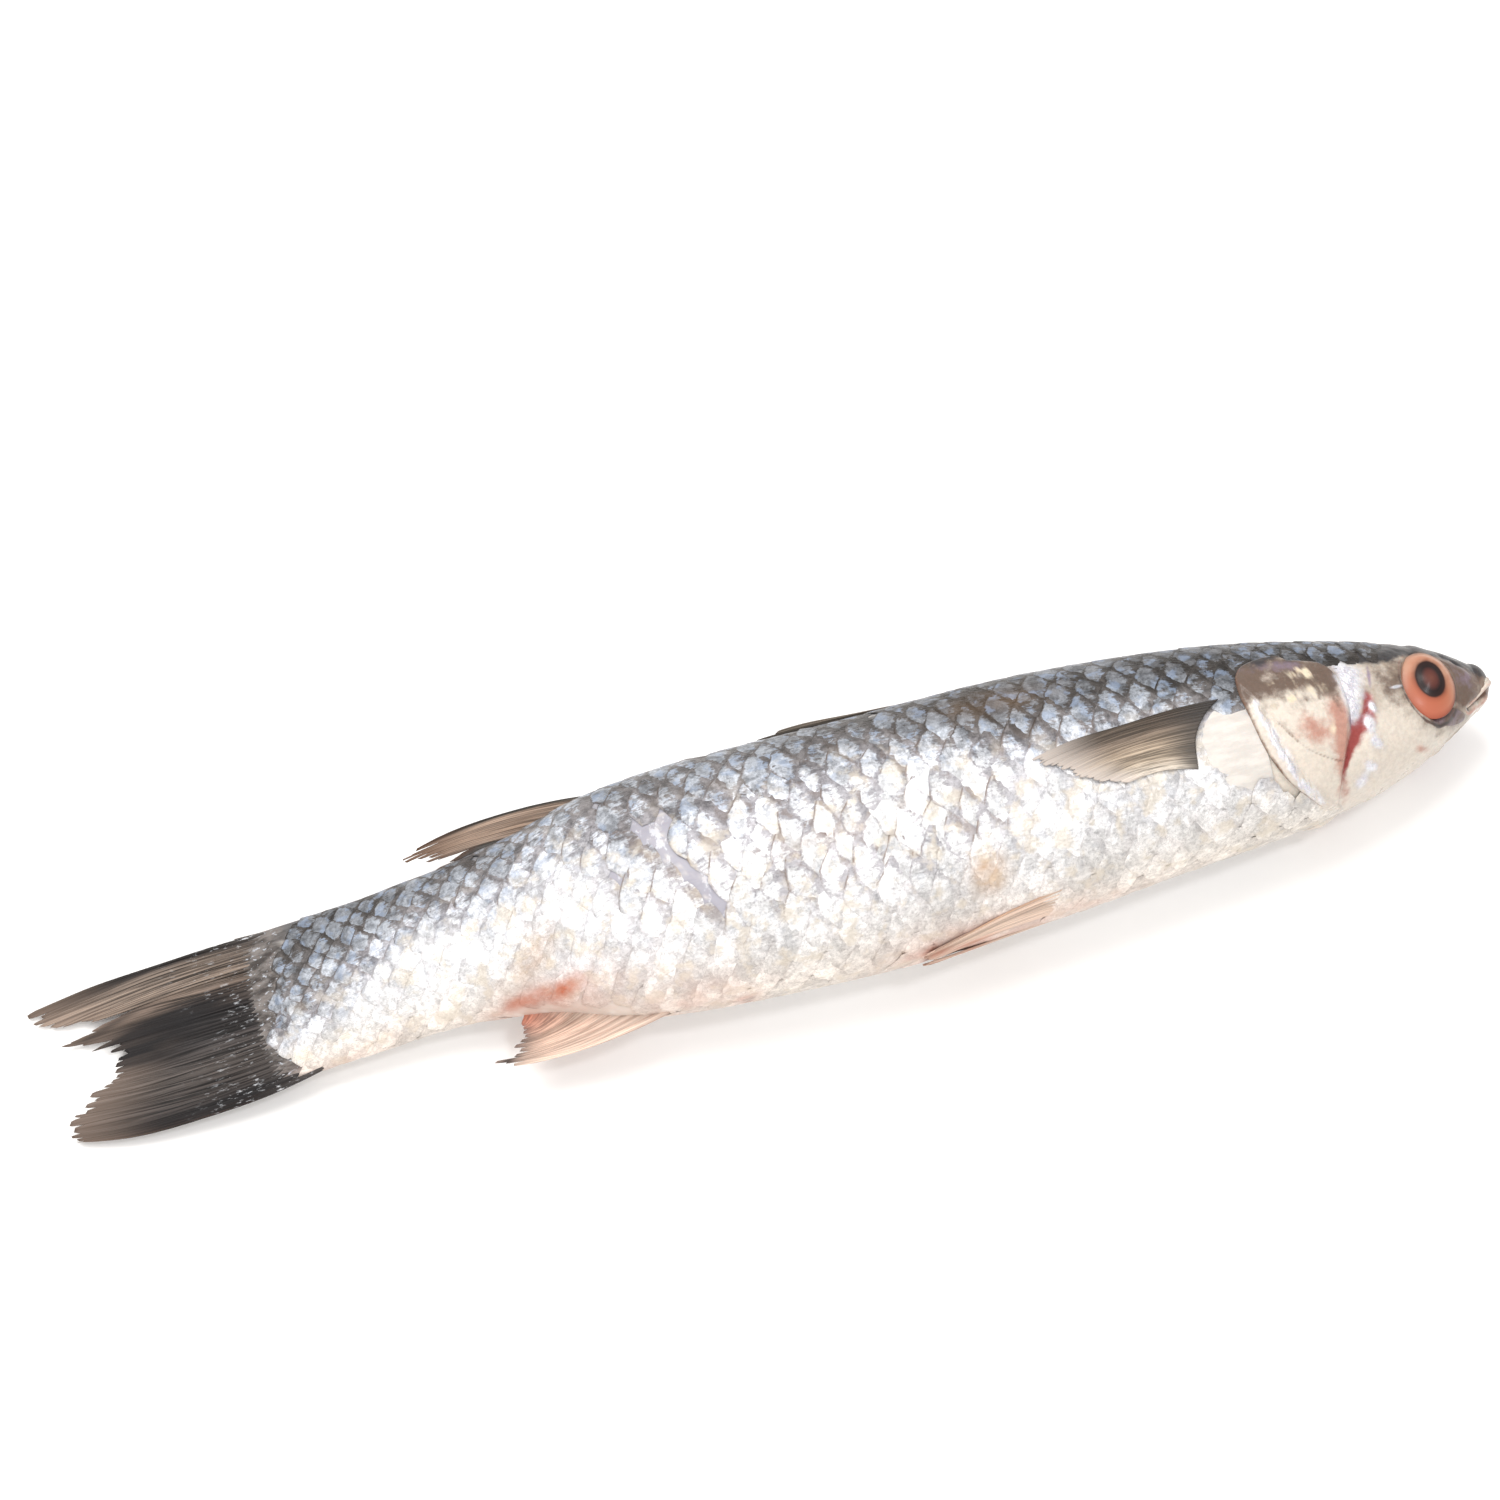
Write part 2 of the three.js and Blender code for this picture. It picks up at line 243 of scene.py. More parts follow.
def grid_faces(rows: int, columns: int, wrap: bool = False, first: int = 0) -> Array:
    """Four-cornered faces of a grid of points numbered by rows; wrap joins its last column to its first."""
    i, j = np.meshgrid(np.arange(rows - 1), np.arange(columns if wrap else columns - 1), indexing="ij")
    k = (j + 1) % columns
    quads = np.stack([i * columns + j, i * columns + k, (i + 1) * columns + k, (i + 1) * columns + j], -1)
    return quads.reshape(-1, 4) + first


def fan_faces(ring: Array, centre: int) -> Array:
    """Triangles from each side of a closed ring of points to one centre point."""
    return np.stack([ring, np.roll(ring, -1), np.full(len(ring), centre)], -1)


def closed_sheet(outer: Array, inner: Array) -> tuple[Array, Array]:
    """One closed skin round a sheet that has an outer and an inner grid of points.

    Each row of the outer grid runs on into the same row of the inner grid, backwards, as a ring; rings are
    joined side by side, and the first and last ring are closed by faces across the sheet.

    Args:
        outer: grid of points on the outer face, (rows, columns, 3).
        inner: the same grid on the inner face.

    Returns:
        The grid of ring points, and the faces.
    """
    rows, columns = outer.shape[:2]
    rings = np.concatenate([outer, inner[:, ::-1]], axis=1)
    around = grid_faces(rows, 2 * columns, wrap=True)
    j = np.arange(columns - 1)
    last = (rows - 1) * 2 * columns
    start_cap = np.stack([j + 1, j, 2 * columns - 1 - j, 2 * columns - 2 - j], -1)
    end_cap = last + np.stack([j, j + 1, 2 * columns - 2 - j, 2 * columns - 1 - j], -1)
    return rings, np.concatenate([around, start_cap, end_cap])


def both_faces(values: Array) -> Array:
    """Values of a sheet's grid, given again for its inner face as closed_sheet orders it."""
    return np.concatenate([values, values[:, ::-1]], axis=1)


def face_outwards(piece: bpy.types.Object) -> None:
    """Turns a closed mesh inside out if its signed volume is negative.

    The volume is a sixth of the sum, over its triangles, of a corner's dot product with the cross product
    of the other two.
    """
    mesh = piece.data
    mesh.calc_loop_triangles()
    points = np.empty(len(mesh.vertices) * 3)
    mesh.vertices.foreach_get("co", points)
    corners = np.empty(len(mesh.loop_triangles) * 3, np.int32)
    mesh.loop_triangles.foreach_get("vertices", corners)
    a, b, c = points.reshape(-1, 3)[corners.reshape(-1, 3)].transpose(1, 0, 2)
    if (a * np.cross(b, c)).sum() < 0:
        mesh.flip_normals()


# ---------------------------------------------------------------- the body's form


@dataclass(frozen=True)
class BodyForm:
    """Head and trunk as a smooth surface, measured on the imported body.

    A section across the fish is a superellipse: with turn 0 at the back and a quarter turn at the right
    flank, a point lies depth times a power of the cosine towards the back, and width times the same power
    of the sine upwards, about a middle that is back from the axis and at height.
    """

    first: float
    last: float
    depth: Curve
    width: Curve
    height: Curve
    back: Curve
    square: Curve
    around: Array  # length of the skin from the back to each turn, one row for each station
    turns: Array  # turn at equal shares of that length, one row for each station
    stations: Array  # places along the fish, 1 mm apart

    SNOUT_CAP = 3.4  # length of the rounded snout tip
    TAIL_TAPER = 7.0  # length over which the tail's stalk thins out into the fin
    STEPS = 361  # turns in half a section
    FULL_RING = 18  # fewest points in a ring that is a whole section
    DIAGONAL = 3  # number, from the crest, of a ring's point at 45 degrees
    BLADE = 0.10  # thickness that the stalk keeps inside the fin, as a share
    DROOP = 0.112  # fall of the stalk's blade for each mm towards the tail
    EASED = 0.35  # how softly the underside meets the table, square mm

    @classmethod
    def measured(cls, node: bpy.types.Object) -> "BodyForm":
        """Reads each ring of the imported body's points.

        The ring's highest and lowest Y give its middle and half depth, and the point of its crest gives the
        mid-plane's height. The fourth point up from the crest stands at 45 degrees, where both powers are
        equal, so it gives the exponent and the half width.

        Args:
            node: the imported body.

        Returns:
            The form.
        """
        points = np.empty(len(node.data.vertices) * 3)
        node.data.vertices.foreach_get("co", points)
        points = np.unique(np.round(points.reshape(-1, 3) / MM, 3), axis=0)
        rows = []
        for x in np.unique(np.round(points[:, 0], 2)):
            ring = points[np.abs(points[:, 0] - x) < 0.02]
            if len(ring) < cls.FULL_RING:
                continue
            crest, keel = ring[ring[:, 1].argmax()], ring[ring[:, 1].argmin()]
            back, depth = (crest[1] + keel[1]) / 2, (crest[1] - keel[1]) / 2
            upper = ring[ring[:, 2] > crest[2] + 0.05]
            upper = upper[np.arctan2(upper[:, 2] - crest[2], upper[:, 1] - back).argsort()]
            diagonal = upper[cls.DIAGONAL]
            share = (diagonal[1] - back) / depth
            width = (diagonal[2] - crest[2]) / share
            rows.append((x, depth, width, crest[2], back, -np.log(2) / np.log(share)))
        table = np.array(rows)
        table = table[table[:, 0] <= points[:, 0].max() - cls.SNOUT_CAP + 0.05]
        shape = [curve(table[:, [0, k]]) for k in range(1, 6)]
        bare = cls(table[0, 0], table[-1, 0], *shape, np.empty(0), np.empty(0), np.empty(0))
        stations = np.arange(bare.first - cls.TAIL_TAPER, bare.last + cls.SNOUT_CAP, 1.0)
        turn = np.linspace(0, np.pi, cls.STEPS)
        line = bare.section(stations[:, None], turn[None, :])
        around = np.cumsum(np.linalg.norm(np.diff(line, axis=1), axis=-1), axis=1)
        around = np.concatenate([np.zeros((len(stations), 1)), around], axis=1)
        shares = np.linspace(0, 1, cls.STEPS)
        turns = np.array([np.interp(shares * row[-1], row, turn) for row in around])
        return cls(bare.first, bare.last, *shape, around, turns, stations)

    def section(self, x: Array, turn: Array) -> Array:
        """The skin's point at x and turn, by the formula above.

        Past the last section the section shrinks as a quarter circle into the snout's tip. Before the first
        it thins to a blade that droops as the tail fin does. The side that lies on the surface is eased off
        at its height: z becomes half of z plus the root of z squared and a small square.

        Args:
            x: places along the fish.
            turn: turns about the fish's axis, radians.

        Returns:
            Points, (..., 3).
        """
        held = np.clip(x, self.first, self.last)
        cap = np.clip((x - self.last) / self.SNOUT_CAP, 0, 0.999)
        shrink = np.sqrt(1 - cap**2)
        out = np.clip((self.first - x) / self.TAIL_TAPER, 0, 1)
        thin = shrink * (1 - (1 - self.BLADE) * out**0.7)
        power = 2 / self.square(held)
        c, s = np.cos(turn), np.sin(turn)
        y = self.back(held) + self.depth(held) * shrink * np.sign(c) * np.abs(c) ** power
        droop = np.minimum(x - self.first, 0) * self.DROOP
        z = self.height(held) + droop + self.width(held) * thin * np.sign(s) * np.abs(s) ** power
        z = 0.5 * (z + np.sqrt(z * z + self.EASED))
        return np.stack(np.broadcast_arrays(x, y, z), -1)

    def normal(self, x: Array, turn: Array) -> Array:
        """The outward direction: the cross product of small steps round the body and along it."""
        turned, moved = 0.02, 0.2
        round_step = self.section(x, turn + turned) - self.section(x, turn - turned)
        along_step = self.section(x + moved, turn) - self.section(x - moved, turn)
        out = np.cross(round_step, along_step)
        return out / np.maximum(np.linalg.norm(out, axis=-1, keepdims=True), 1e-9)

    def girth(self, x: Array) -> Array:
        """Length of the skin from the back to the belly, over one flank."""
        return np.interp(x, self.stations, self.around[:, -1])

    def turn_at(self, x: Array, down: Array) -> Array:
        """The turn at a distance down from the back; past the belly or the back it goes up the other side.

        Args:
            x: places along the fish.
            down: distance round the skin from the back's ridge; negative is the other flank.

        Returns:
            Turns, radians.
        """
        share = down / self.girth(x)
        folded = np.abs(share)
        beyond = folded > 1
        folded = np.clip(np.where(beyond, 2 - folded, folded), 0, 1) * (self.STEPS - 1)
        station = np.clip(x - self.stations[0], 0, len(self.stations) - 1.001)
        i, j = station.astype(int), np.minimum(folded.astype(int), self.STEPS - 2)
        u, v = station - i, folded - j
        low = mix(self.turns[i, j], self.turns[i, j + 1], v)
        high = mix(self.turns[i + 1, j], self.turns[i + 1, j + 1], v)
        turn = mix(low, high, u)
        turn = np.where(beyond, 2 * np.pi - turn, turn)
        return np.where(share < 0, -turn, turn)

    def down_at(self, x: Array, turn: Array) -> Array:
        """The distance round the skin from the back to a turn, on either flank."""
        half = np.abs((turn + np.pi) % (2 * np.pi) - np.pi) / np.pi * (self.STEPS - 1)
        station = np.clip(x - self.stations[0], 0, len(self.stations) - 1.001)
        i, j = station.astype(int), np.minimum(half.astype(int), self.STEPS - 2)
        u, v = station - i, half - j
        low = mix(self.around[i, j], self.around[i, j + 1], v)
        return mix(low, mix(self.around[i + 1, j], self.around[i + 1, j + 1], v), u)

    def skin(self, x: Array, down: Array, lift: Array, flank: Flank) -> Array:
        """The point at (x, down) on a flank, lifted off the skin along its normal."""
        turn = self.turn_at(x, down) * flank.value
        return self.section(x, turn) + self.normal(x, turn) * np.asarray(lift)[..., None]


# ---------------------------------------------------------------- landmarks on the skin, (x, down) in mm

GILL_OPENING = [(103, 16.8), (99, 18.2), (96.6, 21.5), (96.2, 25), (96.6, 29), (97.6, 36), (100.4, 42.4),
                (105, 47.2), (110.9, 52.4), (114.5, 54)]
GILL_FRONT = [(108, 16.4), (113.5, 16.8), (117, 20), (117.6, 25), (117.2, 29), (115.9, 33), (114.2, 37.5),
              (112.6, 42.5), (112, 48), (115, 54)]
OPENING_X = curve([(0, 112), (15, 106), *((down, x) for x, down in GILL_OPENING[:-1]), (58, 113)])
OPERCLE_LINE = [(100.2, 29.2), (103, 34), (107, 37.4), (111.4, 38.6), (114, 38.8)]
RED_BAND = [(121.9, 21.5), (120.5, 27.5), (116.9, 32.7), (114.2, 37), (112.3, 42.3), (111.6, 49)]
CHEEK_EDGE = [(124.6, 12), (124.2, 16), (123, 20.5), (121.9, 25.5), (119.6, 30), (118, 34), (118.4, 38)]
GOLD_ARC = [(100.2, 28.7), (102, 27.9), (104.5, 27.3), (108.4, 26.1)]
SILVER_RIM = [(98.3, 27.5), (98.8, 30), (100.2, 36.6), (103.8, 44.2), (109.0, 50.3)]
MOUTH = [(142.4, 19.3), (143.6, 17.2), (145.6, 14.6), (148.0, 10.8), (149.7, 7.5)]
PECTORAL_BASE = Spot(91.5, 36.0, 8.0, 9.6, 8)
NAPE_EDGE = curve([(86, 16), (92, 20), (96, 23.5), (99, 20.6), (102, 19.2), (106, 19.4), (115, 17.6),
                   (123, 16.8), (127.5, 15.8), (131, 13.6), (134, 11.4), (138, 9.6), (150, 7)])
SCALE_PITCH = curve([(-110, 4.0), (-80, 5.1), (-40, 5.7), (30, 6.1), (90, 5.9), (130, 4.6)])  # along a row
SCALES_END = curve([(0, -90), (3, -94), (9, -98), (17, -100), (23, -101), (27, -100), (31, -97), (60, -88)])

BARE_PATCHES = [Spot(-21.5, 25, 4.4, 7.0, 8), Spot(-18, 35, 3.6, 6.0, -12), Spot(-14, 43, 2.6, 3.6, 10)]
STAINS = [Spot(39, 52, 3.2, 3.6, 20), Spot(50, 17, 11, 4, 0, 0.14), Spot(-47, 31, 3.4, 4.5, 0, 0.35),
          Spot(-51, 35, 6, 3, 0, 0.35), Spot(10, 38, 9, 1.2, 0, 0.3)]
BRUISES = [Spot(-45.5, 42.5, 5.5, 2.1, 22), Spot(-54, 40.5, 4, 2.0, 15, 0.7), Spot(26, 68, 4.5, 3.5, 0, 0.55),
           Spot(-11, 67.6, 3, 1.6, 0, 0.5)]
BLUSH = [Spot(-47, 46, 16, 6, 22, 0.6), Spot(-22, 62, 14, 7, 10, 0.45), Spot(38, 68, 22, 7, 0, 0.6),
         Spot(-92, 34, 14, 3, 0, 0.35), Spot(75, 68, 30, 6, 0, 0.25)]
SPECKS = [Spot(27.4, 48.3, 0.42, 0.42), Spot(34, 51.5, 0.3, 0.3), Spot(98.0, 43.0, 0.65, 0.35, 60),
          Spot(11, 37.3, 1.1, 0.35, 10), Spot(-10.7, 68, 0.9, 0.7)]
# Silver patches of the cheek and gill cover; the thin fleck at (127.6, 21.7), left of the eye, is a painted
# highlight.
HEAD_SILVER = [Spot(119.0, 18.5, 2.6, 2.4, 20, 0.8), Spot(118.6, 23.0, 2.3, 4.0, 10, 0.9),
               Spot(117.2, 28.0, 1.5, 2.4, 15), Spot(119.9, 30.8, 0.9, 1.9, 8), Spot(120.3, 34.3, 1.3, 1.3),
               Spot(118.6, 39.6, 1.5, 1.2, 40, 0.8), Spot(116.3, 43.4, 2.4, 1.2, 115, 0.9),
               Spot(127.6, 21.7, 1.4, 0.28, -25), Spot(121.5, 27, 0.6, 1.2)]
HEAD_VIOLET = [Spot(143, 12, 3.0, 4.0, 0, 0.36), Spot(115.9, 31, 1.3, 1.8, 0, 0.8),
               Spot(123.0, 20.0, 4.2, 0.35, 103, 0.6), Spot(114.5, 29, 1.8, 3.2, 0, 0.6)]
HEAD_PINK = [Spot(130.4, 34.0, 1.9, 1.2, -20, 0.6), Spot(112.5, 46, 1.6, 5, 0, 0.5)]
COVER_GILT = [Spot(109.5, 21.2, 3.0, 1.3, -6, 0.95), Spot(104, 23.4, 3.6, 1.2, 8, 0.32),
              Spot(109, 25.2, 4.2, 1.7, -12, 0.5), Spot(106.1, 31.6, 0.6, 0.35),
              Spot(111.8, 32, 0.8, 3, 20, 0.45)]
COVER_BROWN = [Spot(105.5, 23.6, 3.6, 1.1, -8, 0.6), Spot(114.0, 22.6, 1.5, 2.6, 20, 0.8),
               Spot(98.5, 22.5, 2.2, 2.8, 0, 0.9), Spot(102, 32, 1.0, 2.6, -40, 0.35)]
COVER_VIOLET = [Spot(104, 19.4, 7, 1.6, 0, 0.45), Spot(116, 30.5, 1.0, 2.0, 0, 0.6)]
PLATE_PINK = [Spot(107.6, 32.8, 3.2, 3.0, 30, 0.75), Spot(113.8, 30, 2.5, 5.5, 0, 0.75)]
COVER_PINK = [Spot(111.8, 44, 1.8, 7, 0, 0.6), Spot(113, 37, 2, 4, 0, 0.6)]
RUBBED = [Spot(0, 34, 34, 16), Spot(30, 36, 22, 13, 0, 0.8), Spot(-60, 22, 30, 10, 0, 0.25)]


@dataclass(frozen=True)
class Livery:
    """How dark the skin is from place to place, along curves over x.

    Tone is 0 in the darkest part of the back and 1 in the whitest part of the flank. It holds a floor value
    down to one curve and has risen to 1 at another.
    """

    floor: Curve = curve([(-104, 0.10), (-94, 0.18), (-85, 0.19), (-70, 0.26), (-55, 0.32), (-40, 0.46),
                          (-25, 0.38), (0, 0.31), (20, 0.14), (35, 0.04), (50, 0.04), (65, 0.11), (80, 0.04),
                          (97, 0.05), (130, 0.02)])
    dark_until: Curve = curve([(-98, 3), (-85, 3), (-55, 4), (-40, 4), (-25, 6), (-10, 9), (5, 8), (20, 5),
                               (35, 10), (50, 15), (65, 12), (80, 13), (90, 15), (97, 18), (104, 14)])
    white_from: Curve = curve([(-98, 37), (-85, 31), (-70, 23), (-55, 30), (-40, 33), (-25, 43), (5, 42),
                               (20, 37), (35, 36), (65, 40), (80, 38), (90, 38), (97, 40), (104, 32)])

    def tone(self, x: Array, down: Array) -> Array:
        """The tone at places on the skin."""
        floor = self.floor(x)
        return floor + (1 - floor) * ease(self.dark_until(x), self.white_from(x), down)

    @staticmethod
    def warmth(down: Array, girth: Array) -> Array:
        """0 on the flank, rising to 1 on the cream and pink belly."""
        return ease(0.66, 1.0, down / girth)


# ---------------------------------------------------------------- materials


class Weave:
    """Builds one material's nodes: each method adds a node and returns its output socket."""

    def __init__(self, name: str) -> None:
        """Makes an empty node material with this name."""
        self.material = bpy.data.materials.new(name)
        self.material.use_nodes = True
        self.nodes = self.material.node_tree.nodes
        self.links = self.material.node_tree.links
        self.nodes.clear()
        self.place = self._node("ShaderNodeTexCoord").outputs["Object"]

    def _node(self, kind: str, **settings: object) -> bpy.types.Node:
        """A node with some of its settings changed."""
        node = self.nodes.new(kind)
        for key, value in settings.items():
            setattr(node, key, value)
        return node

    def _feed(self, socket: Socket, value: object) -> None:
        """Links a socket to value, or sets it where value is a plain number or colour."""
        if isinstance(value, Socket):
            self.links.new(value, socket)
        elif isinstance(value, tuple) and len(value) == 3 and socket.type == "RGBA":
            socket.default_value = (*value, 1)
        else:
            socket.default_value = value

    def mark(self, name: str) -> Socket:
        """A value kept on the mesh's points."""
        return self._node("ShaderNodeAttribute", attribute_name=name).outputs["Fac"]

    def math(self, operation: str, a: object, b: object = 0.0, clamp: bool = False) -> Socket:
        """One sum, product or other operation on two values."""
        node = self._node("ShaderNodeMath", operation=operation, use_clamp=clamp)
        self._feed(node.inputs[0], a)
        self._feed(node.inputs[1], b)
        return node.outputs[0]

    def times(self, a: object, b: object, clamp: bool = False) -> Socket:
        """The product of two values."""
        return self.math("MULTIPLY", a, b, clamp)

    def plus(self, a: object, b: object, clamp: bool = False) -> Socket:
        """The sum of two values."""
        return self.math("ADD", a, b, clamp)

    def minus(self, a: object, b: object, clamp: bool = False) -> Socket:
        """One value less another."""
        return self.math("SUBTRACT", a, b, clamp)

    def step(self, value: object, low: float, high: float, start: object = 0, end: object = 1) -> Socket:
        """A smooth step from start to end as value goes from low to high."""
        node = self._node("ShaderNodeMapRange", interpolation_type="SMOOTHSTEP")
        for socket, given in zip(node.inputs, (value, low, high, start, end)):
            self._feed(socket, given)
        return node.outputs[0]

    def stretched(self, x: float, y: float, z: float) -> Socket:
        """Object coordinates with each axis multiplied."""
        node = self._node("ShaderNodeMapping")
        self._feed(node.inputs["Vector"], self.place)
        node.inputs["Scale"].default_value = (x, y, z)
        return node.outputs[0]

    def noise(self, scale: float, detail: float = 3, place: object = None,
              rough: float = 0.55, bend: float = 0) -> Socket:
        """Cloudy noise about 0.5; scale counts its features in a metre, and bend twists them."""
        node = self._node("ShaderNodeTexNoise")
        self._feed(node.inputs["Distortion"], bend)
        self._feed(node.inputs["Vector"], place or self.place)
        self._feed(node.inputs["Scale"], scale)
        self._feed(node.inputs["Detail"], detail)
        self._feed(node.inputs["Roughness"], rough)
        return node.outputs[0]

    def shifted(self, value: Socket, reach: float) -> Socket:
        """Object coordinates moved along an axis by value times reach."""
        node = self._node("ShaderNodeVectorMath", operation="ADD")
        self._feed(node.inputs[0], self.place)
        self._feed(node.inputs[1], self.joined(self.times(value, reach), 0.0, 0.0))
        return node.outputs[0]

    def joined(self, x: object, y: object, z: object) -> Socket:
        """A vector of three values."""
        node = self._node("ShaderNodeCombineXYZ")
        for socket, value in zip(node.inputs, (x, y, z)):
            self._feed(socket, value)
        return node.outputs[0]

    def grey(self, value: Socket) -> Socket:
        """A grey of this value, which may pass 1."""
        node = self._node("ShaderNodeCombineColor")
        for socket in node.inputs:
            self._feed(socket, value)
        return node.outputs[0]

    def cells(self, scale: float, place: object = None) -> Socket:
        """Distance to the nearest of scattered points."""
        node = self._node("ShaderNodeTexVoronoi")
        self._feed(node.inputs["Vector"], place or self.place)
        self._feed(node.inputs["Scale"], scale)
        return node.outputs["Distance"]

    def ramp(self, value: object, stops: Sequence[tuple[float, tuple]]) -> Socket:
        """A colour that runs through the stops, (place, colour) each, as value goes from 0 to 1."""
        node = self._node("ShaderNodeValToRGB")
        self._feed(node.inputs[0], value)
        elements = node.color_ramp.elements
        while len(elements) < len(stops):
            elements.new(0.5)
        for element, (place, colour) in zip(elements, stops):
            element.position = place
            element.color = (*colour, 1)
        return node.outputs[0]

    def blend(self, share: object, a: object, b: object, mode: str = "MIX") -> Socket:
        """Colour a turned into b, or laid over by it in another mode, by share."""
        node = self._node("ShaderNodeMix", data_type="RGBA", blend_type=mode)
        node.clamp_factor = True
        self._feed(node.inputs["Factor"], share)
        self._feed(node.inputs[6], a)
        self._feed(node.inputs[7], b)
        return node.outputs[2]

    def bump(self, height: object, depth_mm: float, under: object = None) -> Socket:
        """A surface normal tilted by a height pattern this deep."""
        node = self._node("ShaderNodeBump")
        node.inputs["Distance"].default_value = depth_mm * MM
        self._feed(node.inputs["Height"], height)
        if under is not None:
            self._feed(node.inputs["Normal"], under)
        return node.outputs[0]

    def shaded(self, **inputs: object) -> bpy.types.Material:
        """Closes the material with a Principled shader; names are its sockets with _ for a space."""
        shader = self._node("ShaderNodeBsdfPrincipled")
        for key, value in inputs.items():
            self._feed(shader.inputs[key.replace("_", " ")], value)
        output = self._node("ShaderNodeOutputMaterial")
        self.links.new(shader.outputs[0], output.inputs[0])
        return self.material


@dataclass(frozen=True)
class FlankColours:
    """Colours of the trunk from tone 0 to 1, in linear light: the skin, and the silver foil over it."""

    skin: tuple = (
        (0.00, (0.032, 0.027, 0.024)),
        (0.25, (0.080, 0.072, 0.069)),
        (0.50, (0.19, 0.18, 0.185)),
        (0.75, (0.31, 0.30, 0.325)),
        (1.00, (0.45, 0.435, 0.465)),
    )
    foil: tuple = (
        (0.00, (0.115, 0.118, 0.128)),
        (0.25, (0.20, 0.215, 0.24)),
        (0.50, (0.37, 0.395, 0.44)),
        (0.75, (0.62, 0.64, 0.69)),
        (1.00, (0.78, 0.78, 0.79)),
    )
    belly_skin: tuple = (0.63, 0.56, 0.50)
    belly_foil: tuple = (0.76, 0.71, 0.65)

    def at(self, weave: Weave, foil_share: object) -> Socket:
        """The trunk's colour where foil covers this share."""
        wander = weave.times(weave.minus(weave.noise(90, 4), 0.5), 0.34)
        tone = weave.plus(weave.mark("tone"), wander, clamp=True)
        warm = weave.mark("warm")
        skin = weave.blend(warm, weave.ramp(tone, self.skin), self.belly_skin)
        foil = weave.blend(warm, weave.ramp(tone, self.foil), self.belly_foil)
        return weave.blend(foil_share, skin, foil)


@dataclass(frozen=True)
class MarkColours:
    """Colours of the marks on the skin."""

    stain: tuple = (0.46, 0.27, 0.13)
    bruise: tuple = (0.47, 0.145, 0.08)
    blush: tuple = (0.60, 0.36, 0.29)
    speck: tuple = (0.04, 0.015, 0.015)

    def over(self, weave: Weave, colour: Socket) -> Socket:
        """The colour with each of the mesh's marks laid over it, blotchy with noise."""
        blotch = weave.step(weave.noise(220, 4), 0.3, 0.7, 0.55, 1.15)
        for name in ("blush", "stain", "bruise", "speck"):
            share = weave.times(weave.mark(name), blotch, clamp=True)
            colour = weave.blend(share, colour, getattr(self, name))
        return colour


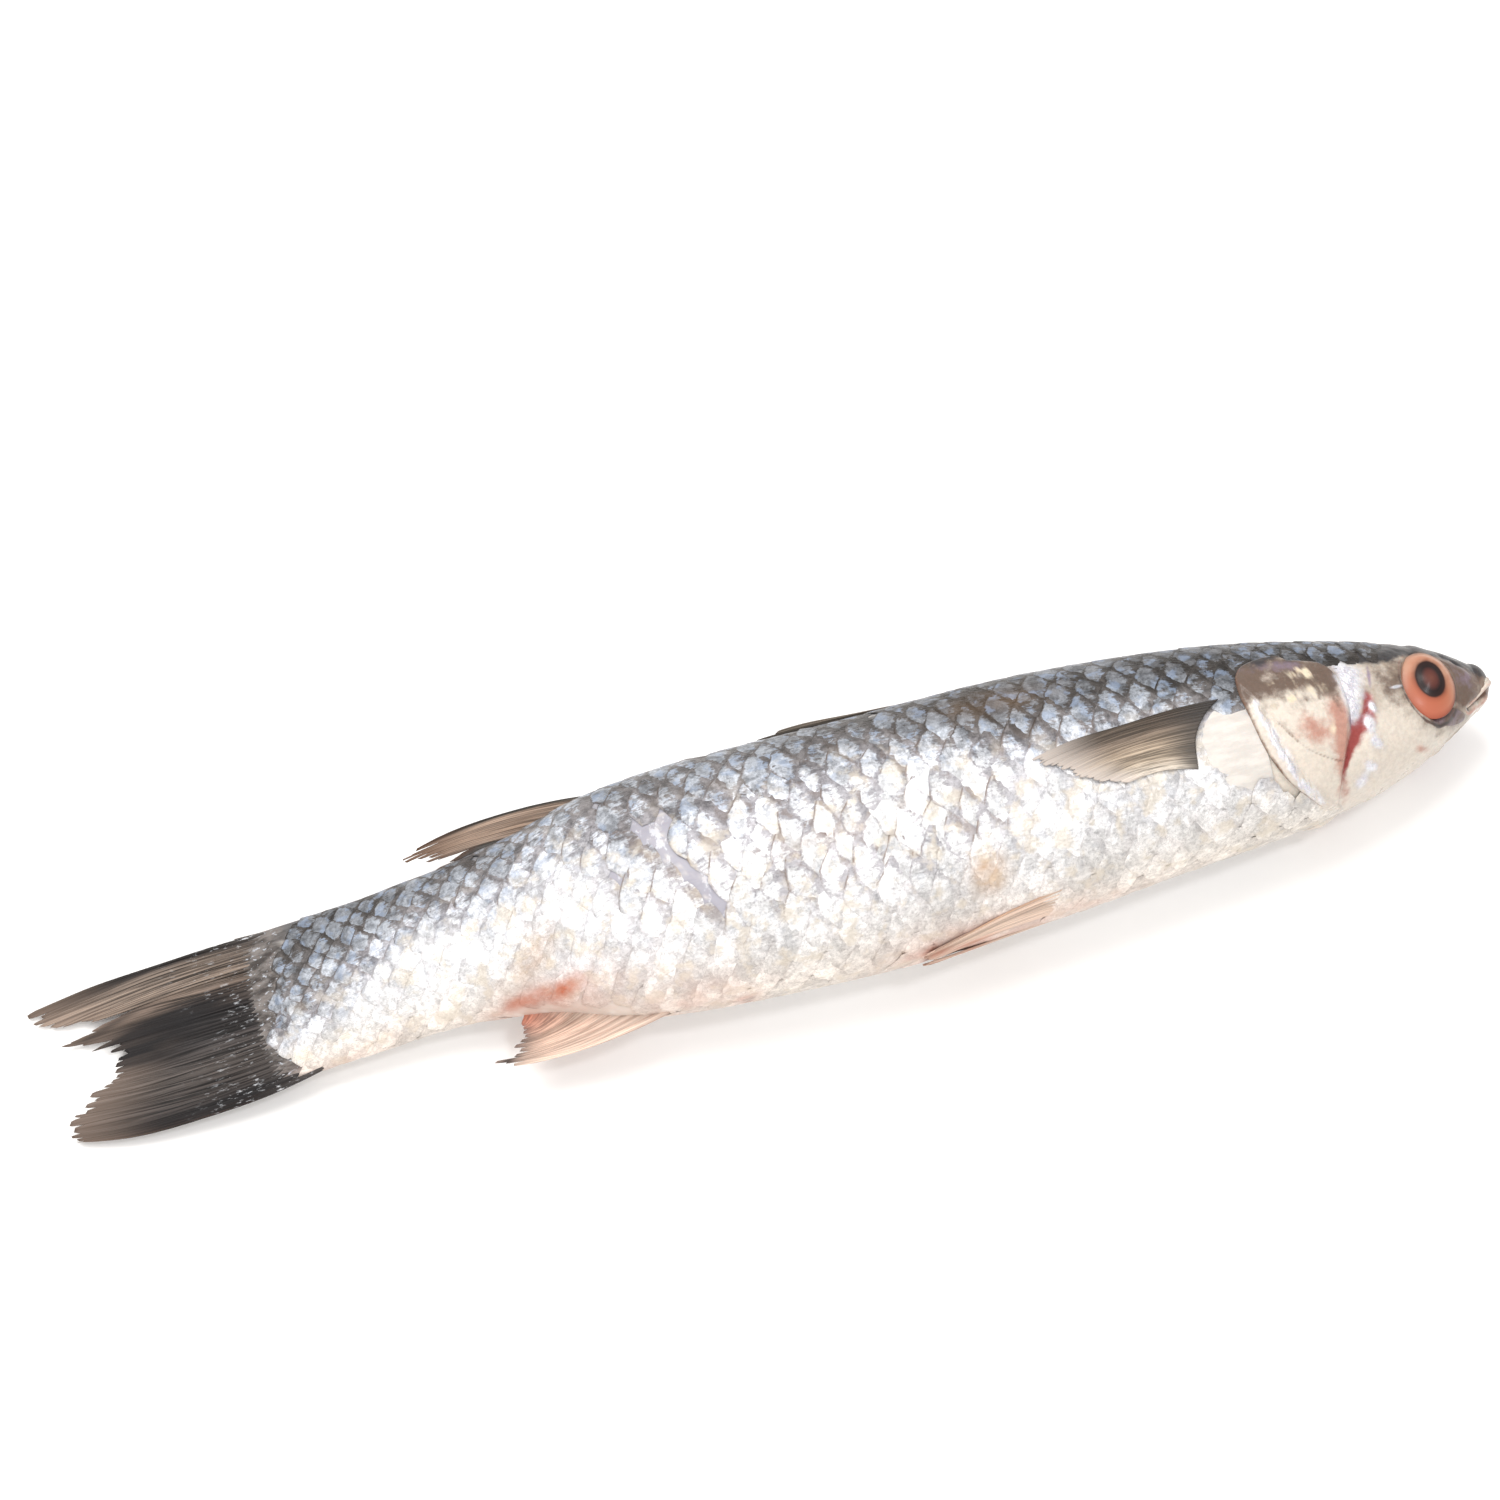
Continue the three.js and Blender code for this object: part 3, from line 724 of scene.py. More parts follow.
@dataclass(frozen=True)
class ScaleFinish:
    """Silvery scales: ragged foil over translucent plates, thin brown lines along their free edges, and the
    next scale's shadow painted at the front of each.
    """

    name: str = "silver_scales"
    dark_line_and_shadow: tuple = (0.020, 0.017, 0.015)
    light_line_and_shadow: tuple = (0.20, 0.15, 0.125)
    cream: tuple = (0.64, 0.57, 0.47)
    blue: tuple = (0.27, 0.35, 0.50)

    def material(self) -> bpy.types.Material:
        """Builds the finish.

        Noise runs in the scale's own coordinates, stretched into streaks that fan out from its root, and is
        different for each scale. Foil covers a point where streaks and cloudy noise together pass a
        threshold, which depends on tone, on the scale's tint and on the place in what shows of the scale:
        the front of that lies under the next scale's edge, mostly bare, with that scale's shadow painted on
        it as greyer plate and a dark band.
        """
        weave = Weave(self.name)
        tone, tint = weave.mark("tone"), weave.mark("tint")
        inset, side, shown = weave.mark("inset"), weave.mark("side"), weave.mark("shown")
        own = weave.shifted(tint, 3.0)
        calm = weave.minus(1.0, weave.mark("warm"), clamp=True)
        fan = weave.joined(weave.times(side, 9.0), weave.times(inset, 2.2),
                           weave.times(tint, 70.0))
        streaks = weave.noise(1.0, 5, fan, 0.62, 0.6)
        flakes = weave.noise(520, 7, own, 0.66, 0.8)
        level = weave.plus(weave.times(streaks, 0.42), weave.times(flakes, 0.58))
        # Foil is kept off the edges of what shows and off its front; the bare, greyer front is partly painted
        # shadow of the next scale.
        lit = weave.times(weave.step(shown, 0.0, 0.18), weave.step(shown, 1.02, 0.50))
        lit = weave.times(lit, weave.step(weave.math("ABSOLUTE", side), 0.95, 0.40))
        reach = weave.step(tone, 0.2, 1.0, 0.20, 0.16)
        spread = weave.times(weave.minus(lit, 0.55), reach)
        spread = weave.plus(spread, weave.step(tint, 0, 1, -0.07, 0.06))
        spread = weave.plus(spread, weave.step(tone, 0.5, 1.0, 0.0, 0.042))
        foil = weave.step(weave.plus(level, spread), 0.462, 0.540)
        soft = weave.step(tone, 0.55, 1.0)
        whole = weave.times(soft, weave.step(weave.mark("worn"), 0.75, 0.15, 0.10, 0.62))
        foil = weave.plus(foil, weave.times(whole, weave.minus(1.0, foil)))
        colour = FlankColours().at(weave, foil)
        # Painted highlight: the foil is made brighter and darker in soft patches, standing in for its
        # reflections; the range is narrower on the whiter flank.
        painted_sheen = weave.step(weave.noise(300, 7, own, 0.68, 0.6), 0.37, 0.63)
        painted_sheen = weave.plus(weave.times(painted_sheen, weave.step(soft, 0, 1, 0.80, 0.32)),
                           weave.step(soft, 0, 1, 0.55, 0.80))
        # Painted shade: thin dark lines where the foil is creased.
        crease = weave.math("ABSOLUTE", weave.minus(weave.noise(430, 4, own, 0.6, 1.4), 0.5))
        crease = weave.step(crease, 0.0, 0.035, 0.76, 1.0)
        value = weave.step(weave.math("FRACT", weave.times(tint, 7.3)), 0, 1, 0.86, 1.12)
        grain_low = weave.step(soft, 0, 1, 0.80, 0.91)
        grain = weave.step(weave.noise(1300, 3, own, 0.6), 0.35, 0.65, grain_low, 1.10)
        value = weave.times(weave.times(value, grain), weave.times(painted_sheen, crease))
        colour = weave.blend(1.0, colour, weave.grey(value), "MULTIPLY")
        blue = weave.step(weave.noise(330, 5, own), 0.50, 0.62, 0, 0.42)
        blue = weave.times(weave.times(blue, foil), weave.step(tone, 1.0, 0.5, 0.25, 1.0))
        colour = weave.blend(weave.times(blue, calm), colour, self.blue)
        warm = weave.times(weave.step(weave.noise(240, 5), 0.50, 0.64, 0, 0.6), weave.step(tone, 0.4, 0.9))
        colour = weave.blend(warm, colour, self.cream)
        # Dark lines: brown pigment along each scale's free edge, and a painted shadow band at the front of
        # what shows, where the next scale's edge overlaps it; both take the same line colour.
        edge = weave.step(inset, 0.10, 0.015)
        painted_lee_shadow = weave.times(weave.step(shown, 0.78, 1.0), 0.6)
        edge_line_and_shadow = weave.math("MAXIMUM", edge, painted_lee_shadow)
        upper = weave.step(side, -0.25, 0.35, 1.0, 0.25)
        broken = weave.step(weave.noise(230, 6, rough=0.7), 0.46, 0.56)
        edge_line_and_shadow = weave.times(weave.times(edge_line_and_shadow, calm), upper)
        line = weave.blend(weave.step(tone, 0.2, 0.9), self.dark_line_and_shadow, self.light_line_and_shadow)
        strength = weave.times(broken, weave.step(whole, 0.1, 0.62, 0.82, 0.28))
        strength = weave.plus(strength, weave.step(tone, 0.1, 0.7, 0.45, 0.0), clamp=True)
        colour = weave.blend(weave.times(edge_line_and_shadow, strength), colour, line)
        colour = MarkColours().over(weave, colour)
        ridges = weave.bump(weave.math("SINE", weave.times(side, 40.0)), 0.012)
        facets = weave.times(weave.cells(420, own), calm)
        crumple = weave.bump(weave.plus(weave.noise(480, 7, own, 0.68), facets), 0.45, ridges)
        return weave.shaded(
            Base_Color=colour,
            Metallic=weave.times(foil, weave.step(tone, 0.0, 1.0, 0.08, 0.30)),
            Roughness=weave.step(weave.noise(300, 4), 0.3, 0.7, 0.30, 0.50),
            IOR=1.27,
            Coat_Weight=0.06,
            Coat_Roughness=0.10,
            Normal=crumple,
        )


@dataclass(frozen=True)
class SkinFinish:
    """Wet skin between and below the scales: lavender grey where bare, cream and pearly on the belly."""

    name: str = "trunk_skin"
    bare: tuple = (0.33, 0.32, 0.37)
    scraps: tuple = (0.56, 0.56, 0.60)
    flecks: tuple = (0.42, 0.44, 0.48)
    pearl: tuple = (0.76, 0.73, 0.68)
    fleshy: tuple = (0.66, 0.62, 0.58)
    stalk: tuple = (0.21, 0.19, 0.18)
    stalk_dark: tuple = (0.055, 0.048, 0.045)

    def material(self) -> bpy.types.Material:
        """Builds the finish."""
        weave = Weave(self.name)
        tone, warm = weave.mark("tone"), weave.mark("warm")
        colour = FlankColours().at(weave, 0.25)
        shown = weave.times(weave.step(tone, 0.25, 0.6), weave.step(warm, 0.5, 0.0))
        scraps = weave.step(weave.noise(380, 7, weave.stretched(1, 0.6, 1), 0.7), 0.54, 0.60)
        bare = weave.blend(scraps, self.bare, self.scraps)
        colour = weave.blend(weave.times(shown, 0.9), colour, bare)
        dots = weave.step(weave.cells(330), 0.40, 0.10)
        dots = weave.times(dots, weave.step(warm, 0.1, 0.5))
        colour = weave.blend(weave.times(dots, 0.5), colour, self.pearl)
        strands = weave.step(weave.noise(650, 5, weave.stretched(0.25, 1, 0.6), 0.65), 0.34, 0.66)
        fleshy = weave.blend(strands, tuple(c * 0.84 for c in self.fleshy), self.fleshy)
        colour = weave.blend(weave.mark("fleshy"), colour, fleshy)
        colour = weave.blend(weave.mark("tail"), colour, weave.blend(strands, self.stalk_dark, self.stalk))
        flecks = weave.step(weave.noise(1500, 5, weave.stretched(0.45, 1, 1), 0.65), 0.575, 0.655)
        colour = weave.blend(weave.times(flecks, weave.mark("tail")), colour, self.flecks)
        colour = MarkColours().over(weave, colour)
        fibres = weave.bump(weave.noise(900, 4, weave.stretched(0.35, 1, 1)), 0.10)
        return weave.shaded(
            Base_Color=colour,
            Roughness=weave.step(weave.noise(240, 4), 0.3, 0.7, 0.28, 0.46),
            IOR=1.3,
            Subsurface_Weight=0.12,
            Subsurface_Radius=(0.6, 0.3, 0.2),
            Subsurface_Scale=0.0015,
            Coat_Weight=0.08,
            Coat_Roughness=0.12,
            Normal=weave.bump(weave.noise(260, 4), 0.25, fibres),
        )


@dataclass(frozen=True)
class HeadFinish:
    """Skin and bony plates of the head, coloured by the marks that the head's meshes carry."""

    name: str = "head_skin"
    flesh: tuple = (0.27, 0.215, 0.165)
    cream: tuple = (0.62, 0.56, 0.49)
    dark: tuple = (0.045, 0.042, 0.044)
    brown: tuple = (0.135, 0.095, 0.075)
    gilt: tuple = (0.66, 0.57, 0.43)
    silver: tuple = (0.74, 0.74, 0.77)
    violet: tuple = (0.24, 0.185, 0.245)
    red: tuple = (0.27, 0.055, 0.050)
    pink: tuple = (0.43, 0.235, 0.185)
    line: tuple = (0.17, 0.095, 0.065)
    painted_glint: tuple = (0.46, 0.43, 0.52)

    def material(self) -> bpy.types.Material:
        """Builds the finish: each mark's edge is broken up by fine noise before its colour is laid on."""
        weave = Weave(self.name)
        fine = weave.noise(420, 6, rough=0.62)
        colour = weave.blend(weave.step(weave.noise(160, 4), 0.35, 0.65), self.flesh, self.cream)
        colour = weave.blend(weave.step(weave.mark("low"), 0, 1), colour, self.cream)
        for name in ("pink", "brown", "violet", "red", "dark", "gilt", "silver", "line"):
            level = weave.plus(weave.mark(name), weave.times(weave.minus(fine, 0.5), 1.1))
            share = weave.times(weave.step(level, 0.12, 0.78), weave.step(weave.mark(name), 0.0, 0.18))
            colour = weave.blend(share, colour, getattr(self, name))
        silver = weave.mark("silver")
        # Painted highlight: violet glints broken over the silver patches stand in for their sparkle.
        painted_glint = weave.times(weave.step(weave.noise(700, 5, rough=0.7), 0.60, 0.42, 0, 0.55), silver)
        colour = weave.blend(painted_glint, colour, self.painted_glint)
        pores = weave.step(weave.noise(1100, 4, rough=0.65), 0.36, 0.64, 0.93, 1.05)
        colour = weave.blend(1.0, colour, weave.grey(pores), "MULTIPLY")
        grain = weave.bump(weave.noise(600, 5, rough=0.62), 0.13)
        foil = weave.bump(weave.times(weave.noise(430, 4, rough=0.65), silver), 0.8, grain)
        return weave.shaded(
            Base_Color=colour,
            Metallic=weave.times(silver, 0.4, clamp=True),
            Roughness=weave.step(weave.noise(300, 4), 0.3, 0.7, 0.26, 0.46),
            IOR=1.3,
            Subsurface_Weight=0.12,
            Subsurface_Radius=(1.0, 0.4, 0.25),
            Subsurface_Scale=0.001,
            Coat_Weight=0.14,
            Coat_Roughness=0.08,
            Normal=foil,
        )


@dataclass(frozen=True)
class EyeFinish:
    """Orange iris, dark ring and maroon pupil, under a wet clear coat."""

    name: str = "eye"
    flush: tuple = (0.40, 0.095, 0.050)
    painted_haze: tuple = (0.50, 0.30, 0.21)

    def material(self) -> bpy.types.Material:
        """Colours run outwards from the middle of the pupil, with veins from noise; the upper iris is paler,
        a hazy painted highlight broken up by noise.
        """
        weave = Weave(self.name)
        wander = weave.times(weave.minus(weave.noise(450, 4), 0.5), 0.05)
        rings = weave.ramp(
            weave.plus(weave.mark("outward"), wander, clamp=True),
            (
                (0.00, (0.130, 0.045, 0.032)),
                (0.22, (0.085, 0.025, 0.020)),
                (0.36, (0.014, 0.007, 0.007)),
                (0.51, (0.022, 0.009, 0.008)),
                (0.58, (0.22, 0.075, 0.042)),
                (0.68, (0.38, 0.145, 0.082)),
                (0.86, (0.44, 0.20, 0.130)),
                (0.94, (0.26, 0.12, 0.085)),
                (1.00, (0.05, 0.03, 0.03)),
            ),
        )
        iris = weave.step(weave.mark("outward"), 0.50, 0.58)
        low = weave.times(weave.step(weave.mark("lower"), 0.45, 0.95, 0, 0.75), iris)
        colour = weave.blend(low, rings, self.flush)
        # Painted highlight: the upper iris is made paler and hazy, as where light falls on a cloudy eye.
        painted_haze = weave.times(weave.step(weave.noise(240, 3), 0.35, 0.70, 0.1, 0.75), iris)
        painted_haze = weave.times(painted_haze, weave.step(weave.mark("lower"), 0.65, 0.25))
        colour = weave.blend(painted_haze, colour, self.painted_haze)
        return weave.shaded(
            Base_Color=colour,
            Roughness=0.42,
            IOR=1.3,
            Coat_Weight=0.16,
            Coat_Roughness=0.22,
            Normal=weave.bump(weave.noise(380, 4), 0.05),
        )


@dataclass(frozen=True)
class FinFinish:
    """Rays and membrane: across gives the ramp's place, and tips and the grooves between rays differ."""

    name: str
    across: tuple
    tip: tuple
    tip_share: float
    groove: tuple
    groove_share: float
    base: tuple
    base_share: float
    speck: float = 0.0
    hairs: float = 40.0
    hair_low: float = 0.55
    flush: tuple = (0.62, 0.22, 0.14)
    murk: tuple = (0.010, 0.009, 0.010)
    flakes: tuple = (0.72, 0.74, 0.78)

    def material(self) -> bpy.types.Material:
        """Builds the finish."""
        weave = Weave(self.name)
        along, across, ray = weave.mark("along"), weave.mark("across"), weave.mark("ray")
        colour = weave.ramp(across, self.across)
        streak = weave.step(weave.mark("streak"), 0, 1, 0.70, 1.30)
        hairs = weave.joined(weave.times(across, self.hairs), weave.times(along, 1.4), 0.0)
        hairs = weave.step(weave.noise(1.0, 4, hairs, 0.72), 0.40, 0.60, self.hair_low, 1.45)
        colour = weave.blend(1.0, colour, weave.grey(weave.times(streak, hairs)), "MULTIPLY")
        base = weave.times(weave.step(along, 0.34, 0.0), self.base_share)
        colour = weave.blend(base, colour, self.base)
        tips = weave.times(weave.step(along, 0.60, 1.0), self.tip_share)
        colour = weave.blend(tips, colour, self.tip)
        groove = weave.times(weave.step(ray, 0.45, 0.05), self.groove_share)
        colour = weave.blend(groove, colour, self.groove)
        colour = weave.blend(weave.mark("flush"), colour, self.flush)
        murk = weave.times(weave.mark("shade"), weave.step(weave.mark("streak"), 0.1, 0.8, 1.0, 0.80))
        colour = weave.blend(murk, colour, self.murk)
        if self.speck:
            flakes = weave.step(weave.noise(1700, 5, weave.stretched(0.30, 1, 1), 0.65), 0.575, 0.635)
            flakes = weave.times(flakes, weave.step(along, 0.62, 0.08))
            flakes = weave.times(flakes, weave.step(weave.noise(170, 3), 0.40, 0.55, 0, self.speck))
            colour = weave.blend(flakes, colour, self.flakes)
        wrinkle = weave.bump(weave.noise(700, 4, weave.stretched(0.25, 1, 1)), 0.10)
        return weave.shaded(
            Base_Color=colour,
            Roughness=0.48,
            IOR=1.25,
            Subsurface_Weight=0.05,
            Subsurface_Radius=(0.8, 0.5, 0.35),
            Subsurface_Scale=0.0008,
            Coat_Weight=0.04,
            Coat_Roughness=0.15,
            Normal=wrinkle,
        )


@dataclass(frozen=True)
class TableFinish:
    """The plain pale surface under the fish."""

    name: str = "pale_table"
    colour: tuple = (0.97, 0.965, 0.96)

    def material(self) -> bpy.types.Material:
        """Builds the finish."""
        weave = Weave(self.name)
        tone = weave.blend(weave.noise(6, 2), self.colour, tuple(c * 0.985 for c in self.colour))
        return weave.shaded(Base_Color=tone, Roughness=0.6, Specular_IOR_Level=0.2)


# ---------------------------------------------------------------- pieces


def settle(piece: bpy.types.Object, finish: bpy.types.Material, slot: str, *nodes: str) -> bpy.types.Object:
    """Gives a piece its finish and body, hides the CAD nodes that it stands for, and reports it."""
    piece.data.materials.append(finish)
    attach(piece, BODY)
    if nodes:
        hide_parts(*nodes)
    log.info("%s: %d faces", piece.name, len(piece.data.polygons))
    return piece


def skin_marks(form: BodyForm, x: Array, down: Array) -> dict[str, Array]:
    """Tone, warmth, stains, bruises, blush and specks of the trunk at (x, down)."""
    girth = form.girth(x)
    down = np.where(down > girth, 2 * girth - down, np.abs(down))
    livery = Livery()
    return {
        "tone": livery.tone(x, down),
        "warm": livery.warmth(down, girth),
        "stain": spots_at(STAINS, x, down),
        "bruise": spots_at(BRUISES, x, down),
        "blush": spots_at(BLUSH, x, down),
        "speck": spots_at(SPECKS, x, down),
    }


@dataclass
class Trunk:
    """The skin of the trunk, from the gill openings to the blade that enters the tail fin."""

    form: BodyForm
    front: float = 98.0
    rows: int = 330
    columns: int = 200

    def relief(self, x: Array, down: Array) -> Array:
        """Height over the smooth form: the pectoral's fleshy base, the vent and wrinkles."""
        share = PECTORAL_BASE.at(x, down)
        strands = 0.10 * value_noise(down * 1.1, x / 5, 14)
        base = (0.30 + strands) * ease(0.14, 0.75, share)
        vent = 0.45 * Spot(-10.6, 67, 2.6, 1.6).at(x, down) - 0.6 * Spot(-10.9, 68, 0.9, 0.6).at(x, down)
        wrinkles = 0.10 * rough_noise(x / 9, down / 3, 11)
        return base + vent + wrinkles - 0.12

    def build(self) -> bpy.types.Object:
        """A grid round the body: rows along X and columns round it, closed at the tail by a fan."""
        x = np.linspace(self.form.first - self.form.TAIL_TAPER, self.front, self.rows)[:, None]
        turn = np.linspace(0, 2 * np.pi, self.columns, endpoint=False)[None, :]
        x, turn = np.broadcast_arrays(x, turn)
        down = self.form.down_at(x, turn)
        points = self.form.section(x, turn) + self.form.normal(x, turn) * self.relief(x, down)[..., None]
        share = PECTORAL_BASE.at(x, down) + 0.24 * rough_noise(x / 2.4, down / 0.7, 15)
        tail = ease(-93.5, -98, x + 1.5 * rough_noise(x / 2, down / 2, 16))
        marks = {"fleshy": ease(0.10, 0.40, share), "tail": tail, **skin_marks(self.form, x, down)}
        flat = np.concatenate([points.reshape(-1, 3), points[:1].mean(1)])
        marks = {k: np.append(v.ravel(), v[0].mean()) for k, v in marks.items()}
        ring = np.arange(self.columns)
        faces = [grid_faces(self.rows, self.columns, wrap=True), fan_faces(ring[::-1], len(flat) - 1)]
        piece = make_mesh("trunk_skin", flat, faces, marks)
        face_outwards(piece)
        return settle(piece, SkinFinish().material(), "skin", "body")


@dataclass
class ScaleCoat:
    """The scales of one flank: plates that overlap like tiles, from the nape to the tail fin.

    What shows of each plate is a tall rhombus, because its free edge is a rounded V that points to the tail
    and the plates in front cover the rest of it with theirs.
    """

    form: BodyForm
    flank: Flank
    rows: int = 14
    side: int = 8
    seed: int = 3

    def centres(self) -> tuple[Array, Array]:
        """Places of the scales' middles: columns a pitch apart, each second row moved by half a pitch.

        Columns are counted by the running sum of 1 / pitch along the fish, so their places come from the
        inverse of that sum.

        Returns:
            x and row number of every scale that this flank carries.
        """
        x = np.linspace(-101, 133, 1200)
        count = np.concatenate([[0], np.cumsum(np.diff(x) / SCALE_PITCH(x[1:]))])
        first = 0 if self.flank is Flank.RIGHT else 1
        last = self.rows if self.flank is Flank.RIGHT else self.rows - 1
        row, column = np.meshgrid(np.arange(first, last + 1), np.arange(int(count[-1])), indexing="ij")
        place = np.interp(column + 0.5 * (row % 2), count, x)
        return place.ravel(), row.ravel().astype(float)

    def kept(self, x: Array, down: Array, rng: np.random.Generator) -> Array:
        """Which scales are there: none on gill covers, cheeks or the pectoral's base, and some are lost."""
        clear = x < OPENING_X(down) - 1.6
        nape = (down < NAPE_EDGE(x) - 2.2) & (x < 128)
        bare = spots_at(BARE_PATCHES, x, down) if self.flank is Flank.RIGHT else np.zeros_like(x)
        lost = (bare > 0.42) | (rng.random(len(x)) < 0.009)
        vent = Spot(-42, 0, 17, 8).at(x, self.form.girth(x) - down) > 0.45
        return (clear | nape) & (PECTORAL_BASE.at(x, down) < 0.42) & ~lost & ~vent & (x > SCALES_END(down))

    def build(self) -> bpy.types.Object:
        """Every scale as one small grid bent over the body.

        A grid point's (u, v) run from -1 to 1, u from the root to the free edge and v across. The free edge
        reaches less far the larger v is, and the root is rounded. The plate is turned a little, laid at its
        place on the skin and lifted: little at the root, more at the free edge, and closed down at the very
        edge, so that it rises over the next plates and ends on them.
        """
        rng = np.random.default_rng(self.seed + self.flank.value)
        x0, row = self.centres()
        step = self.form.girth(x0) / self.rows
        x0 = x0 + rng.normal(0, 0.22, len(x0))
        down0 = (row + rng.normal(0, 0.05, len(row))) * step
        keep = self.kept(x0, down0, rng)
        x0, down0, step = x0[keep], down0[keep], step[keep]
        wild = self.wildness(x0, down0)
        count = len(x0)
        spin = rng.normal(0, 1, count) * (0.05 + 0.15 * wild)
        roll = rng.normal(0, 1, count) * (0.05 + 0.14 * wild)
        raised = 0.18 + 0.12 * rng.random(count) + 0.36 * wild * rng.random(count)
        raised = raised * ease(-101, -90, x0)
        tint = rng.random(count)
        size = 1 + rng.normal(0, 0.03 + 0.07 * wild, count)

        def each(values: Array) -> Array:
            return values[:, None, None]

        u, v = np.meshgrid(np.linspace(-1, 1, self.side), np.linspace(-1, 1, self.side), indexing="ij")
        u, v = np.sin(u * np.pi / 2)[None], v[None]
        pitch = each(SCALE_PITCH(x0) * size)
        jag = 0.07 * value_noise(v * 3.1 + each(tint) * 90, each(tint) * 50, 5)
        free = 0.12 + 0.46 * (1 - np.abs(v) ** 1.35) + jag
        root = -0.66 + 0.34 * v**2
        reach = mix(root, free, (u + 1) / 2)
        a, b = reach * pitch, v * each(step * size) * 1.08
        x = each(x0) - a * np.cos(each(spin)) + b * np.sin(each(spin))
        down = each(down0) + b * np.cos(each(spin)) + a * np.sin(each(spin))
        ramp = (u + 1) / 2
        lift = 0.02 + each(raised) * ramp * (1 - 0.35 * np.abs(v) - 0.4 * v) + each(roll) * b * 0.30 * ramp
        lift = lift + 0.12 * (1 - v**2) * np.sin(np.pi * ramp) - 0.13 * ease(0.90, 1.0, u)
        crease = rough_noise(x / 1.7 + 17 * each(tint), down / 1.7, 21, 2)
        lift = np.maximum(lift + crease * (0.02 + 0.14 * each(wild)) * ramp, -0.05)
        points = self.form.skin(x, down, lift, self.flank)
        points[..., 2] = np.maximum(points[..., 2], LOWEST)
        marks = {
            "tint": np.broadcast_to(each(tint), x.shape),
            "inset": np.broadcast_to(free - reach, x.shape),
            "side": np.broadcast_to(v, x.shape),
            "worn": self.wildness(x, down),
            "shown": np.broadcast_to(np.clip((free - reach) / (1.06 - 0.95 * np.abs(v)), 0, 2), x.shape),
            **skin_marks(self.form, x, down),
        }
        faces = grid_faces(self.side, self.side)
        faces = (faces[None] + (np.arange(count) * self.side**2)[:, None, None]).reshape(-1, 4)
        if self.flank is Flank.LEFT:
            faces = faces[:, ::-1]
        piece = make_mesh(f"{self.flank.label}_scales", points, [faces], marks)
        self.turn_out(piece, points, faces)
        return settle(piece, ScaleFinish().material(), "skin")

    @staticmethod
    def wildness(x: Array, down: Array) -> Array:
        """How disordered the scales are: most on the rubbed middle of the flank."""
        return spots_at(RUBBED, x, down)

    @staticmethod
    def turn_out(piece: bpy.types.Object, points: Array, faces: Array) -> None:
        """Flips the scales if their faces point into the body: the first face's normal against its place."""
        flat = points.reshape(-1, 3)
        a, b, c = flat[faces[:, 0]], flat[faces[:, 1]], flat[faces[:, 2]]
        middle = flat.mean(0)
        outward = (np.cross(b - a, c - a) * (a - middle) * (0, 1, 1)).sum(-1)
        if np.median(outward) < 0:
            piece.data.flip_normals()


